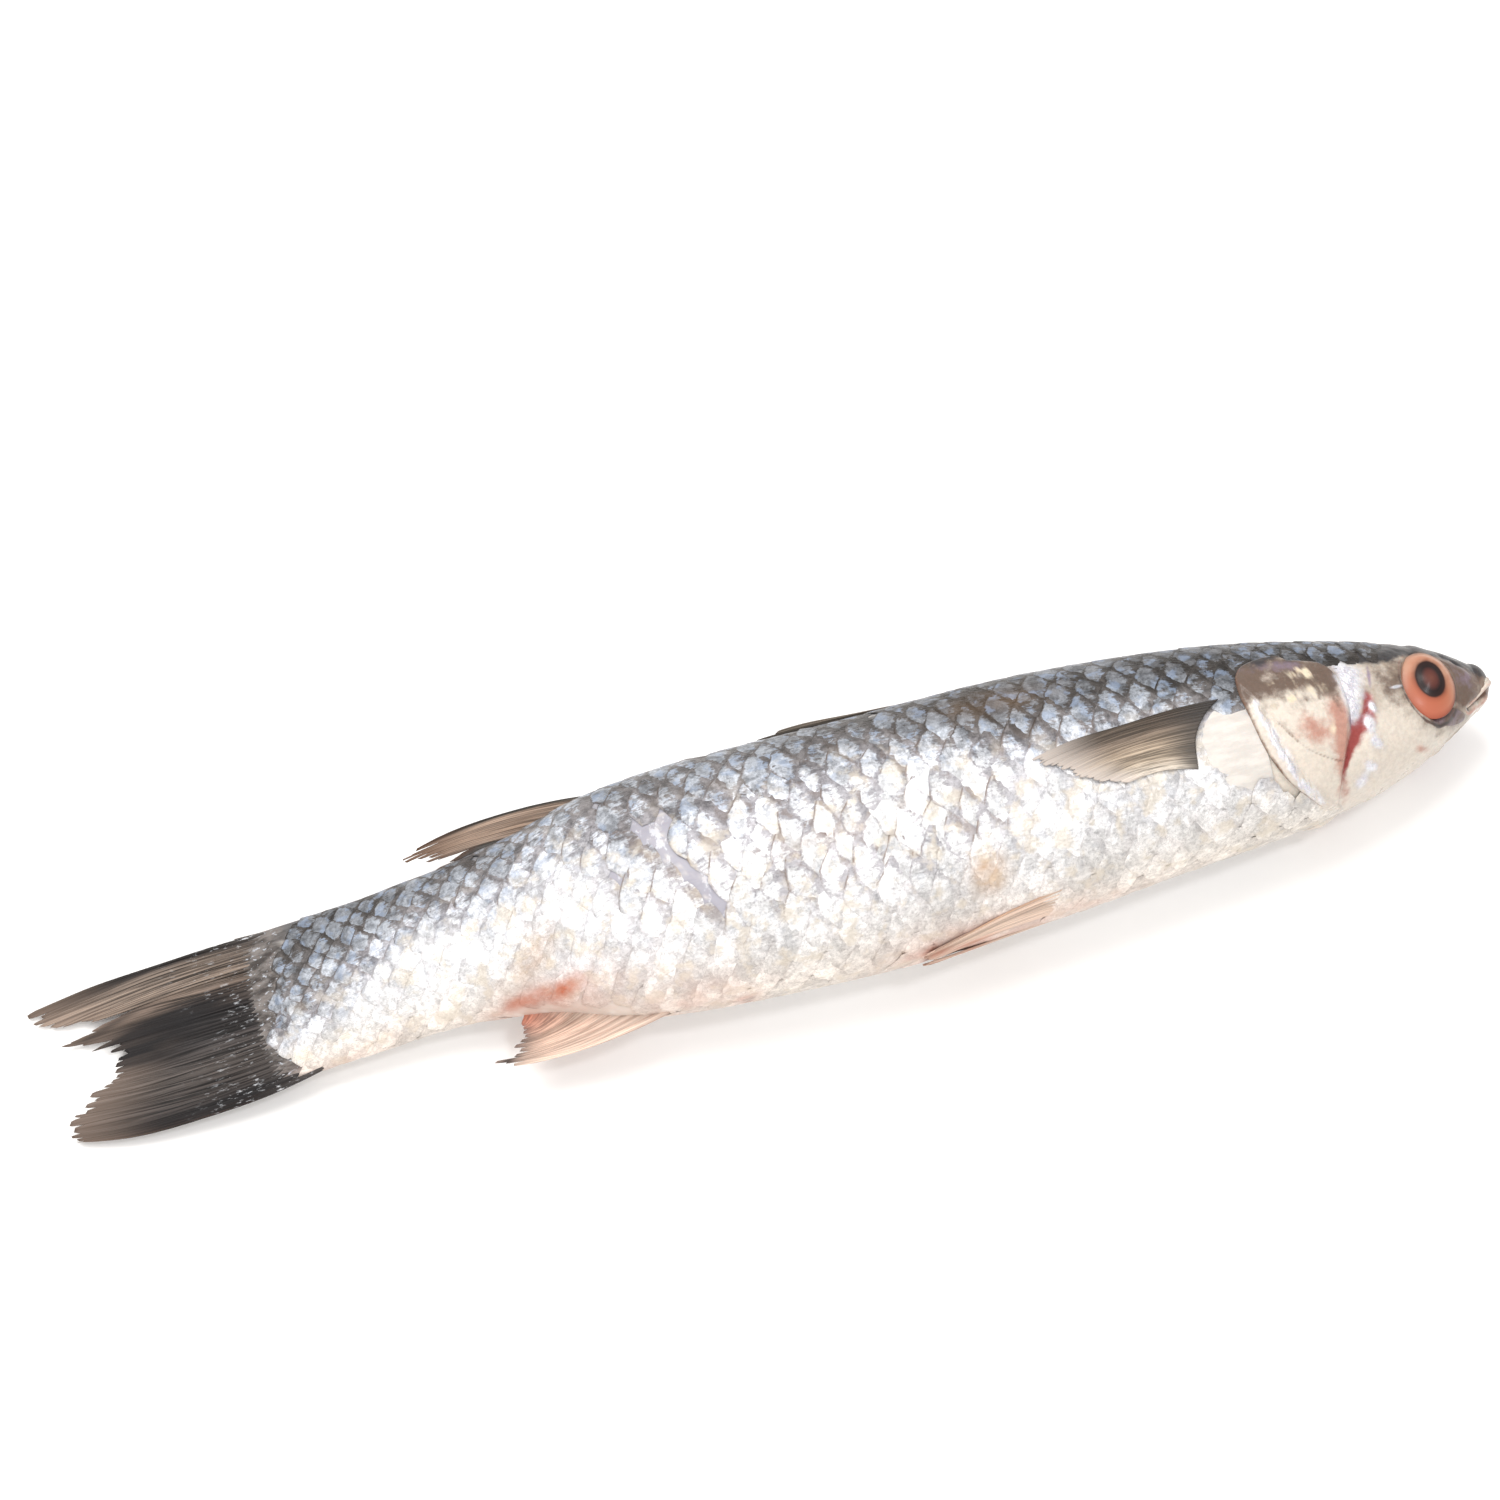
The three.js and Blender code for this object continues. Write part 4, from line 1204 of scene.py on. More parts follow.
@dataclass
class Head:
    """The head's skin from the gill openings to the snout, with sockets, mouth and nostrils."""

    form: BodyForm
    back_end: float = 94.0
    rows: int = 210
    columns: int = 300

    eye: tuple = field(init=False)

    EYE_SHAPE = (0.94, 1.11)  # the eye's length and height, in packed radii

    def __post_init__(self) -> None:
        """Finds the eye's place."""
        self.eye = self.eye_place()

    def eye_place(self) -> tuple[float, float, float]:
        """The eye's x and distance down, and its radius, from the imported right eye."""
        low, high = (np.array(v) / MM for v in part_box("right_eye"))
        x, y = (low[0] + high[0]) / 2, (low[1] + high[1]) / 2
        turn = np.linspace(0.2, np.pi - 0.2, 200)
        line = self.form.section(np.full(200, x), turn)
        best = turn[np.abs(line[:, 1] - y).argmin()]
        return x, float(self.form.down_at(np.array([x]), np.array([best]))[0]), (high[1] - low[1]) / 2

    def relief(self, x: Array, down: Array, gap: Array) -> tuple[Array, dict[str, Array]]:
        """Height over the smooth form, with the colour marks that follow it.

        Args:
            x: places along the fish.
            down: places round the body.
            gap: distance from the eye's middle, in eye radii.

        Returns:
            Heights in mm, and the marks by name.
        """
        lid = np.exp(-(((gap - 1.03) / 0.07) ** 2))
        socket = -2.2 * ease(1.0, 0.80, gap)
        mouth_far, mouth_share, _ = near_path(x, down, MOUTH)
        slit = np.exp(-((mouth_far / 0.36) ** 2)) * ease(0, 0.05, mouth_share)
        lips = np.exp(-(((mouth_far - 0.95) / 0.6) ** 2)) * ease(138, 143, x)
        plate = Spot(137.2, 24.2, 5.4, 1.75, -33).at(x, down)
        plate_edge = ease(0.30, 0.48, plate)
        nostrils = Spot(142.6, 9.2, 0.75, 0.55).at(x, down) + Spot(140.6, 8.6, 0.7, 0.8).at(x, down)
        cheek_far, _, cheek_side = near_path(x, down, CHEEK_EDGE)
        cheek = ease(-0.5, 0.5, cheek_far * -cheek_side)
        opening_far, _, opening_side = near_path(x, down, GILL_OPENING)
        in_front = ease(-0.4, 0.4, opening_far * opening_side)
        tissue = 0.30 * ease(2.1, 1.25, gap) * ease(0.98, 1.15, gap)
        band = self.red_band(x, down)
        edge = NAPE_EDGE(x) + 0.7 * rough_noise(x / 3, down / 3, 41, 2)
        grain = 0.05 * rough_noise(x / 1.6, down / 1.3, 31)
        height = socket + 0.26 * lid + tissue - 0.75 * slit + 0.30 * lips + 0.32 * plate_edge
        height = height - 0.35 * nostrils + 0.26 * cheek * ease(edge, edge + 3, down) + grain - 0.30 * band
        height = height - 0.55 * in_front * ease(117, 112, x) * ease(14, 18, down) * ease(54, 46, down)

        nape = ease(edge + 2.0, edge - 1.6, down)
        above_mouth = ease(20.5, 18.0, down + 0.95 * np.maximum(x - 141, 0))
        snout = ease(136.5, 141, x + 0.10 * (down - 14)) * above_mouth
        below_lip = ease(17, 21, down + 1.15 * (x - 142.4))
        eye_x, eye_down, eye_radius = self.eye
        below_eye = ease(-0.25, 0.55, (down - eye_down) / eye_radius - 0.35 * (x - eye_x) / eye_radius)
        rim = np.exp(-(((gap - 1.07) / 0.045) ** 2))
        faint = np.clip(0.5 * ease(2.0, 1.1, gap) + Spot(125, 22, 2.0, 7, 0, 0.45).at(x, down), 0, 1)
        corner = Spot(142.3, 19.4, 0.5, 0.4).at(x, down)
        marks = {
            "low": ease(19, 33, down),
            "dark": nape + 0.12 * plate_edge + 0.62 * rim * below_eye + 0.9 * nostrils + 0.8 * slit + corner,
            "brown": 0.62 * snout * (1 - below_lip) + 0.95 * faint * ease(36, 22, down) + 0.8 * plate_edge,
            "silver": spots_at(HEAD_SILVER, x, down) * (1 - 0.85 * nape),
            "red": band,
            "violet": spots_at(HEAD_VIOLET, x, down) + 0.32 * plate_edge,
            "pink": 0.8 * lips * below_lip + 0.5 * rim + 0.35 * snout + spots_at(HEAD_PINK, x, down),
            "gilt": np.zeros_like(x),
            "line": 0.7 * slit + 0.3 * rim * below_eye,
        }
        return height, {name: np.clip(mark, 0, 1) for name, mark in marks.items()}

    @staticmethod
    def red_band(x: Array, down: Array) -> Array:
        """The raw red band along the front edge of the gill cover."""
        far, share, _ = near_path(x, down, RED_BAND)
        wide = 0.7 + 0.9 * np.exp(-(((share - 0.32) / 0.2) ** 2))
        return np.exp(-((far / wide) ** 2)) * ease(0.0, 0.15, share) * ease(1.0, 0.6, share)

    def build(self) -> bpy.types.Object:
        """A grid round the head, its columns closer together on the flanks, closed at the snout by a fan."""
        t = np.linspace(0, 1, self.rows)
        last = self.form.last + self.form.SNOUT_CAP * 0.995
        x = (self.back_end + (last - self.back_end) * (1 - (1 - t) ** 1.12))[:, None]
        turn = np.linspace(0, 2 * np.pi, self.columns, endpoint=False)[None, :]
        x, turn = np.broadcast_arrays(x, turn)
        down = self.form.down_at(x, turn)
        points = self.form.section(x, turn)
        gap = self.eye_gap(points)
        height, marks = self.relief(x, down, gap)
        height = height * ease(self.form.last + self.form.SNOUT_CAP, self.form.last - 0.8, x)
        points = points + self.form.normal(x, turn) * height[..., None]
        snout = points[-1:].mean(1)
        flat = np.concatenate([points.reshape(-1, 3), snout])
        marks = {k: np.append(v.ravel(), v[-1].mean()) for k, v in marks.items()}
        ring = np.arange(self.columns) + (self.rows - 1) * self.columns
        faces = [grid_faces(self.rows, self.columns, wrap=True), fan_faces(ring, len(flat) - 1)]
        piece = make_mesh("head_skin", flat, faces, marks)
        face_outwards(piece)
        return settle(piece, HeadFinish().material(), "skin")

    def eye_frame(self, flank: Flank) -> tuple[Array, Array]:
        """The eye's middle on the skin and its three axes (forward, up the head, outward), as rows."""
        x, down, _ = self.eye
        turn = self.form.turn_at(np.array([x]), np.array([down])) * flank.value
        middle = self.form.section(np.array([x]), turn)[0]
        outward = self.form.normal(np.array([x]), turn)[0]
        forward = np.array([1.0, 0, 0]) - outward[0] * outward
        forward /= np.linalg.norm(forward)
        return middle, np.stack([forward, np.cross(outward, forward) * flank.value, outward])

    def eye_gap(self, points: Array) -> Array:
        """Distance from the nearer eye's middle across the skin, in eye radii."""
        gaps = []
        for flank in Flank:
            middle, axes = self.eye_frame(flank)
            local = (points - middle) @ axes.T
            wide, tall = self.EYE_SHAPE
            gap = np.hypot(local[..., 0] / wide, local[..., 1] / tall) / self.eye[2]
            gaps.append(np.where(local[..., 2] > -8, gap, 9.0))
        return np.minimum(*gaps)


@dataclass
class Eye:
    """One eyeball: a shallow dome whose iris stands proud of the pupil, set into the head's socket."""

    head: Head
    flank: Flank
    rings: int = 40
    spokes: int = 72
    oval: float = 0.92  # the pupil's length over its height
    iris_ridge: float = 0.16
    lens_rise: float = 0.30

    def build(self) -> bpy.types.Object:
        """Rings of points about the eye's axis; the dome's height falls with the square of the radius.

        The iris adds a rounded ring, a raised cosine between the pupil's edge and the rim, and the back is a
        shallow bowl, so the ball is closed.
        """
        middle, axes = self.head.eye_frame(self.flank)
        radius = self.head.eye[2]
        wide, tall = Head.EYE_SHAPE
        share = np.linspace(0.02, 1, self.rings)[:, None]
        angle = np.linspace(0, 2 * np.pi, self.spokes, endpoint=False)[None, :]
        share, angle = np.broadcast_arrays(share, angle)
        iris = self.iris_ridge * np.clip(np.cos((share - 0.75) / 0.25 * np.pi / 2), 0, 1)
        lens = self.lens_rise * ease(0.5, 0.0, share)
        front = 0.95 - 1.75 * share**2 + iris + lens
        rear = -0.9 - 2.2 * np.sqrt(np.clip(1 - share**2, 0, 1))
        reach = share * radius * 0.99
        pull = ease(1.0, 0.3, share)
        aside = radius * ease(1.0, 0.55, share)
        flat_a = reach * np.cos(angle) * wide * mix(1, self.oval, pull) + 0.09 * aside
        flat_b = reach * np.sin(angle) * tall * mix(1, 1.04, pull) + 0.13 * aside

        def placed(out: Array) -> Array:
            local = np.stack([flat_a, flat_b, out], -1)
            return local @ axes + middle

        rows = np.concatenate([placed(front), placed(rear)[::-1]])
        outward = np.concatenate([share, share[::-1]])
        lower = (1 - share * np.sin(angle + 0.5)) / 2
        lower = np.concatenate([lower, lower[::-1]])
        flat = np.concatenate([rows.reshape(-1, 3), rows[:1].mean(1), rows[-1:].mean(1)])
        marks = {
            "outward": np.append(outward.ravel(), (0.0, 0.0)),
            "lower": np.append(lower.ravel(), (0.5, 0.5)),
        }
        count = len(rows)
        ring = np.arange(self.spokes)
        faces = [
            grid_faces(count, self.spokes, wrap=True),
            np.concatenate([fan_faces(ring[::-1], len(flat) - 2),
                            fan_faces(ring + (count - 1) * self.spokes, len(flat) - 1)]),
        ]
        piece = make_mesh(f"{self.flank.label}_eyeball", flat, faces, marks)
        face_outwards(piece)
        return settle(piece, EyeFinish().material(), "eye", f"{self.flank.label}_eye")


@dataclass
class Lips:
    """Upper and lower lip: two tapered tubes along the mouth's rim, from corner to corner round the snout.

    The mouth's rim is where the head meets a sloping plane: y rises in a straight line from the corners of
    the mouth to the snout.
    """

    form: BodyForm
    corner: float = 142.2
    tip: float = 149.5
    corner_y: float = -5.2
    rise: float = 0.68
    radius: float = 0.62
    spokes: int = 14
    steps: int = 40
    smoothings: int = 8

    def rim(self) -> Array:
        """Evenly spaced points along the rim, right corner to left: at each x the turn has the plane's y.

        The rim turns back where the snout's underside rises to meet the plane.
        """
        reach = np.linspace(self.corner, self.tip, 200)
        under = self.form.section(reach, np.full(len(reach), np.pi))[:, 1]
        open_here = under < self.corner_y + self.rise * (reach - self.corner) - 0.15
        x = self.corner + (reach[open_here][-1] - self.corner) * np.sin(np.linspace(0, np.pi / 2, self.steps))
        turn = np.linspace(0.02, np.pi - 0.02, 400)
        line = self.form.section(x[:, None], turn[None, :])
        wanted = self.corner_y + self.rise * (x - self.corner)
        best = np.abs(line[..., 1] - wanted[:, None]).argmin(1)
        right = self.form.section(x, turn[best])
        left = self.form.section(x, -turn[best])
        rim = np.concatenate([right, left[::-1][1:]])
        far = np.append(0, np.cumsum(np.linalg.norm(np.diff(rim, axis=0), axis=1)))
        even = np.linspace(0, far[-1], len(rim))
        return np.stack([np.interp(even, far, rim[:, k]) for k in range(3)], 1)

    def build(self) -> bpy.types.Object:
        """Rings of points about each lip's middle line, across its direction, closed at both ends."""
        rim = self.rim()
        share = np.linspace(-1, 1, len(rim))
        for _ in range(self.smoothings):
            rim[1:-1] = (rim[:-2] + 2 * rim[1:-1] + rim[2:]) / 4
        along = np.gradient(rim, axis=0)
        along /= np.linalg.norm(along, axis=-1, keepdims=True)
        up = np.array([-0.4, 1.0, 0])
        up = up - (along @ up)[:, None] * along
        up /= np.linalg.norm(up, axis=-1, keepdims=True)
        out = np.cross(along, up)
        angle = np.linspace(0, 2 * np.pi, self.spokes, endpoint=False)
        parts, marks, faces, first = [], [], [], 0
        for lift, size in ((0.62, 1.0), (-0.60, 0.95)):
            thick = self.radius * size * (0.25 + 0.75 * np.sqrt(np.clip(1 - share**2, 0, 1)))
            middle = rim + up * (lift * thick)[:, None]
            ring = np.cos(angle)[None, :, None] * up[:, None] + np.sin(angle)[None, :, None] * out[:, None]
            points = middle[:, None] + ring * thick[:, None, None]
            count = len(rim) * self.spokes
            ends = np.concatenate([middle[:1], middle[-1:]])
            parts.append(np.concatenate([points.reshape(-1, 3), ends]))
            marks.append(np.full(count + 2, 0.38 if lift < 0 else 0.30))
            start_ring = np.arange(self.spokes) + first
            end_ring = start_ring + count - self.spokes
            faces += [
                grid_faces(len(rim), self.spokes, wrap=True, first=first),
                fan_faces(start_ring[::-1], first + count),
                fan_faces(end_ring, first + count + 1),
            ]
            first += count + 2
        quads = np.concatenate([f for f in faces if f.shape[1] == 4])
        triangles = np.concatenate([f for f in faces if f.shape[1] == 3])
        pink = np.concatenate(marks)
        still = np.zeros_like(pink)
        names = ("brown", "violet", "red", "dark", "gilt", "silver", "line")
        coloured = {name: still for name in names} | {"pink": pink, "low": still + 1}
        coloured["brown"] = np.where(pink < 0.34, 0.30, 0.0)
        piece = make_mesh("lips", np.concatenate(parts), [quads, triangles], coloured)
        face_outwards(piece)
        return settle(piece, HeadFinish().material(), "skin")


@dataclass
class GillCover:
    """One gill cover: opercle, subopercle and the thin rim, as a shell over the head."""

    form: BodyForm
    flank: Flank
    rows: int = 110
    columns: int = 150

    def build(self) -> bpy.types.Object:
        """A sheet between the front curve and the gill opening: columns run from front to rear, rows down.

        The outer face's height over the skin is a shallow crown, with a step down at the line between the
        plates, a ridge of skin along the rear rim and a rounded edge; the inner face follows the skin.
        """
        q = np.linspace(0.0, 1, self.rows)[:, None]
        p = np.linspace(0, 1, self.columns)[None, :]
        front, rear = (self._edge(path, q) for path in (GILL_FRONT, GILL_OPENING))
        x = mix(front[..., 0], rear[..., 0], p)
        down = mix(front[..., 1], rear[..., 1], p)
        down = np.minimum(down, self.form.girth(x) - 0.3)
        line_far, line_share, line_side = near_path(x, down, OPERCLE_LINE)
        upper = ease(-0.5, 0.5, line_far * -line_side)
        rear_far, _, _ = near_path(x, down, GILL_OPENING)
        front_far, _, _ = near_path(x, down, GILL_FRONT)
        crease = np.exp(-((line_far / 0.26) ** 2)) * ease(0.0, 0.06, line_share)
        crown = 0.55 * np.clip(np.sin(np.pi * p), 0, 1) ** 0.8
        rim_groove = np.exp(-(((rear_far - 3.1) / 0.45) ** 2)) * ease(27, 33, down)
        rim_fold = np.exp(-(((rear_far - 1.7) / 1.0) ** 2)) * ease(22, 29, down)
        edge = np.sqrt(np.clip(rear_far / 0.5, 0, 1))
        radial = 0.035 * value_noise(np.arctan2(down - 16, x - 118) * 26, rear_far / 30, 51)
        height = 0.25 + 0.55 * edge + crown + 0.22 * upper - 0.24 * crease - 0.20 * rim_groove
        height = 0.10 + (height - 0.10) * ease(self.form.girth(x) - 1, self.form.girth(x) - 9, down)
        height = height + 0.16 * rim_fold + radial + 0.06 * rough_noise(x / 2.2, down / 2.2, 61)
        tucked = ease(0, 1.8, front_far) * ease(0, 0.06, q) * ease(1, 0.93, q)
        outer_lift = mix(-0.42, height, tucked)
        inner_lift = np.minimum(outer_lift - 0.12, mix(-0.6, 0.05, ease(4.0, 0.0, rear_far)))
        outer = self.form.skin(x, down, outer_lift, self.flank)
        inner = self.form.skin(x, down, inner_lift, self.flank)
        rings, faces = closed_sheet(outer, inner)
        rings[..., 2] = np.maximum(rings[..., 2], LOWEST)

        arc_far, arc_share, _ = near_path(x, down, GOLD_ARC)
        arc = np.exp(-((arc_far / mix(0.9, 0.55, arc_share)) ** 2)) * ease(0, 0.1, arc_share)
        shine_far, shine_share, _ = near_path(x, down, SILVER_RIM)
        shine = np.exp(-((shine_far / mix(0.9, 1.5, shine_share)) ** 2)) * ease(1.0, 0.85, shine_share)
        shine = shine * (0.60 + 0.5 * rough_noise(x / 0.8, down / 2.2, 72))
        edge_line = np.exp(-((rear_far / 0.36) ** 2)) * ease(52, 46, down)
        opercle = ease(0.3, 0.9, upper)
        patchy = rough_noise(x / 2.2, down / 1.6, 71)
        top = ease(20.8, 16.8, down + 1.1 * patchy + 0.10 * (x - 105))
        streaky = rough_noise((x - 0.3 * down) / 1.1, (down + 0.3 * x) / 3.4, 73)
        band = ease(30.5 + 0.40 * np.maximum(110 - x, 0), 19.0, down + 1.6 * patchy + 1.8 * streaky)
        marks = {
            "low": 0.80 * ease(19, 29, down),
            "dark": 0.62 * top,
            "violet": spots_at(COVER_VIOLET, x, down),
            "brown": np.clip(spots_at(COVER_BROWN, x, down) * (0.85 + 0.4 * streaky) + 0.72 * band, 0, 1),
            "pink": np.clip(opercle * spots_at(PLATE_PINK, x, down) + spots_at(COVER_PINK, x, down), 0, 1),
            "gilt": np.clip((spots_at(COVER_GILT, x, down) + 0.8 * arc) * (0.62 + 0.8 * streaky), 0, 1),
            "silver": np.clip(shine + spots_at([Spot(116.6, 24, 1.2, 5, 0, 0.8)], x, down), 0, 1),
            "red": Head.red_band(x, down),
            "line": np.clip(0.55 * edge_line + 0.42 * crease + 0.22 * rim_groove * ease(46, 34, down), 0, 1),
        }
        marks = {k: both_faces(np.broadcast_to(v, x.shape)) for k, v in marks.items()}
        piece = make_mesh(f"{self.flank.label}_operculum", rings, [faces], marks)
        face_outwards(piece)
        return settle(piece, HeadFinish().material(), "gill_cover", f"{self.flank.label}_gill_cover")

    @staticmethod
    def _edge(path: Sequence[Sequence[float]], share: Array) -> Array:
        """The smooth curve through a path's places, at shares of their number."""
        knots = np.asarray(path, float)
        rank = np.arange(len(knots)) / (len(knots) - 1)
        return np.stack([curve(np.stack([rank, knots[:, k]], 1))(share) for k in (0, 1)], -1)


@dataclass
class Fin:
    """A fin: a thin sheet of rays that fan out from a root line, with a ragged edge.

    A ray starts at the root line and ends at the tip line, both smooth curves over across (0 to 1), and
    bows sideways as a parabola. The sheet is thickest on each ray and thin between them, and each ray ends
    a little short of the tip line, at random.
    """

    name: str
    surface: Callable[[Array, Array, Array], Array]  # (first place, second place, lift) to points
    root: list
    tip: list
    rays: int
    finish: FinFinish
    slot: str
    nodes: tuple
    bow: list = field(default_factory=lambda: [(0, 0), (1, 0)])
    thick_root: float = 0.9
    thick_tip: float = 0.28
    ragged: float = 0.05
    notch: float = 0.05
    lift: float = 0.0
    lift_tip: float = 0.0
    flush: list = field(default_factory=list)
    shade: list = field(default_factory=list)
    rows: int = 46
    per_ray: int = 7
    seed: int = 1

    def build(self) -> bpy.types.Object:
        """Works the sheet out on a grid, rows along the rays and columns across them."""
        rng = np.random.default_rng(self.seed)
        columns = self.rays * self.per_ray + 1
        w = np.linspace(0, 1, columns)[None, :]
        u = np.linspace(0, 1, self.rows)[:, None]
        phase = w * self.rays
        ridge = np.abs(np.sin(np.pi * phase))
        split = np.abs(np.sin(2 * np.pi * phase))
        ray = mix(ridge, 0.25 + 0.75 * split, ease(0.35, 0.75, u))
        number = np.clip(np.floor(phase).astype(int), 0, self.rays - 1)
        short = rng.random(self.rays)[number] ** 2 * self.ragged
        bundle = value_noise(phase / 3.1, phase * 0, self.seed + 7)
        notch = self.notch * (1 - np.clip(ridge * 1.6, 0, 1))
        reach = 1 - short - notch - 0.5 * self.ragged * (0.5 + 0.5 * bundle)
        root, tip = self._line(self.root, w), self._line(self.tip, w)
        length = np.linalg.norm(tip - root, axis=-1)
        along = u * reach
        place = mix(root, tip, along[..., None])
        direction = (tip - root) / np.maximum(length[..., None], 1e-6)
        aside = np.stack([-direction[..., 1], direction[..., 0]], -1)
        place = place + aside * (curve(self.bow)(w) * 4 * along * (1 - along))[..., None]
        wander = 0.012 * length[..., None] * value_noise(phase * 0.8, along * 2.5, self.seed + 3)[..., None]
        place = place + aside * wander * ease(0.1, 0.8, along)[..., None]
        ripple = 0.22 * value_noise(phase / 2.5, along * 3, self.seed + 9) * ease(0.1, 0.6, along)
        middle = mix(self.lift, self.lift_tip, along) + ripple * (1 if self.lift == 0 else 0.6)
        thick = mix(self.thick_root, self.thick_tip, along**0.7) * (0.42 + 0.58 * ray)
        first, second = place[..., 0], place[..., 1]
        outer = self.surface(first, second, middle + thick / 2)
        inner = self.surface(first, second, middle - thick / 2)
        rings, faces = closed_sheet(outer, inner)
        rings[..., 2] = np.maximum(rings[..., 2], LOWEST)
        tone = rng.random(self.rays)[number] * 0.6 + 0.4 * (0.5 + 0.5 * bundle)
        marks = {
            "along": along * np.ones_like(w),
            "across": w * np.ones_like(u),
            "ray": ray,
            "streak": tone * np.ones_like(u),
            "flush": spots_at(self.flush, first, second) if self.flush else np.zeros(first.shape),
            "shade": spots_at(self.shade, first, second) if self.shade else np.zeros(first.shape),
        }
        marks = {k: both_faces(np.broadcast_to(v, first.shape)) for k, v in marks.items()}
        piece = make_mesh(self.name, rings, [faces], marks)
        face_outwards(piece)
        return settle(piece, self.finish.material(), self.slot, *self.nodes)

    @staticmethod
    def _line(places: list, w: Array) -> Array:
        """A root or tip line: (across, first, second) knots as a smooth curve over across."""
        knots = np.asarray(places, float)
        return np.stack([curve(knots[:, [0, k]])(w) for k in (1, 2)], -1)


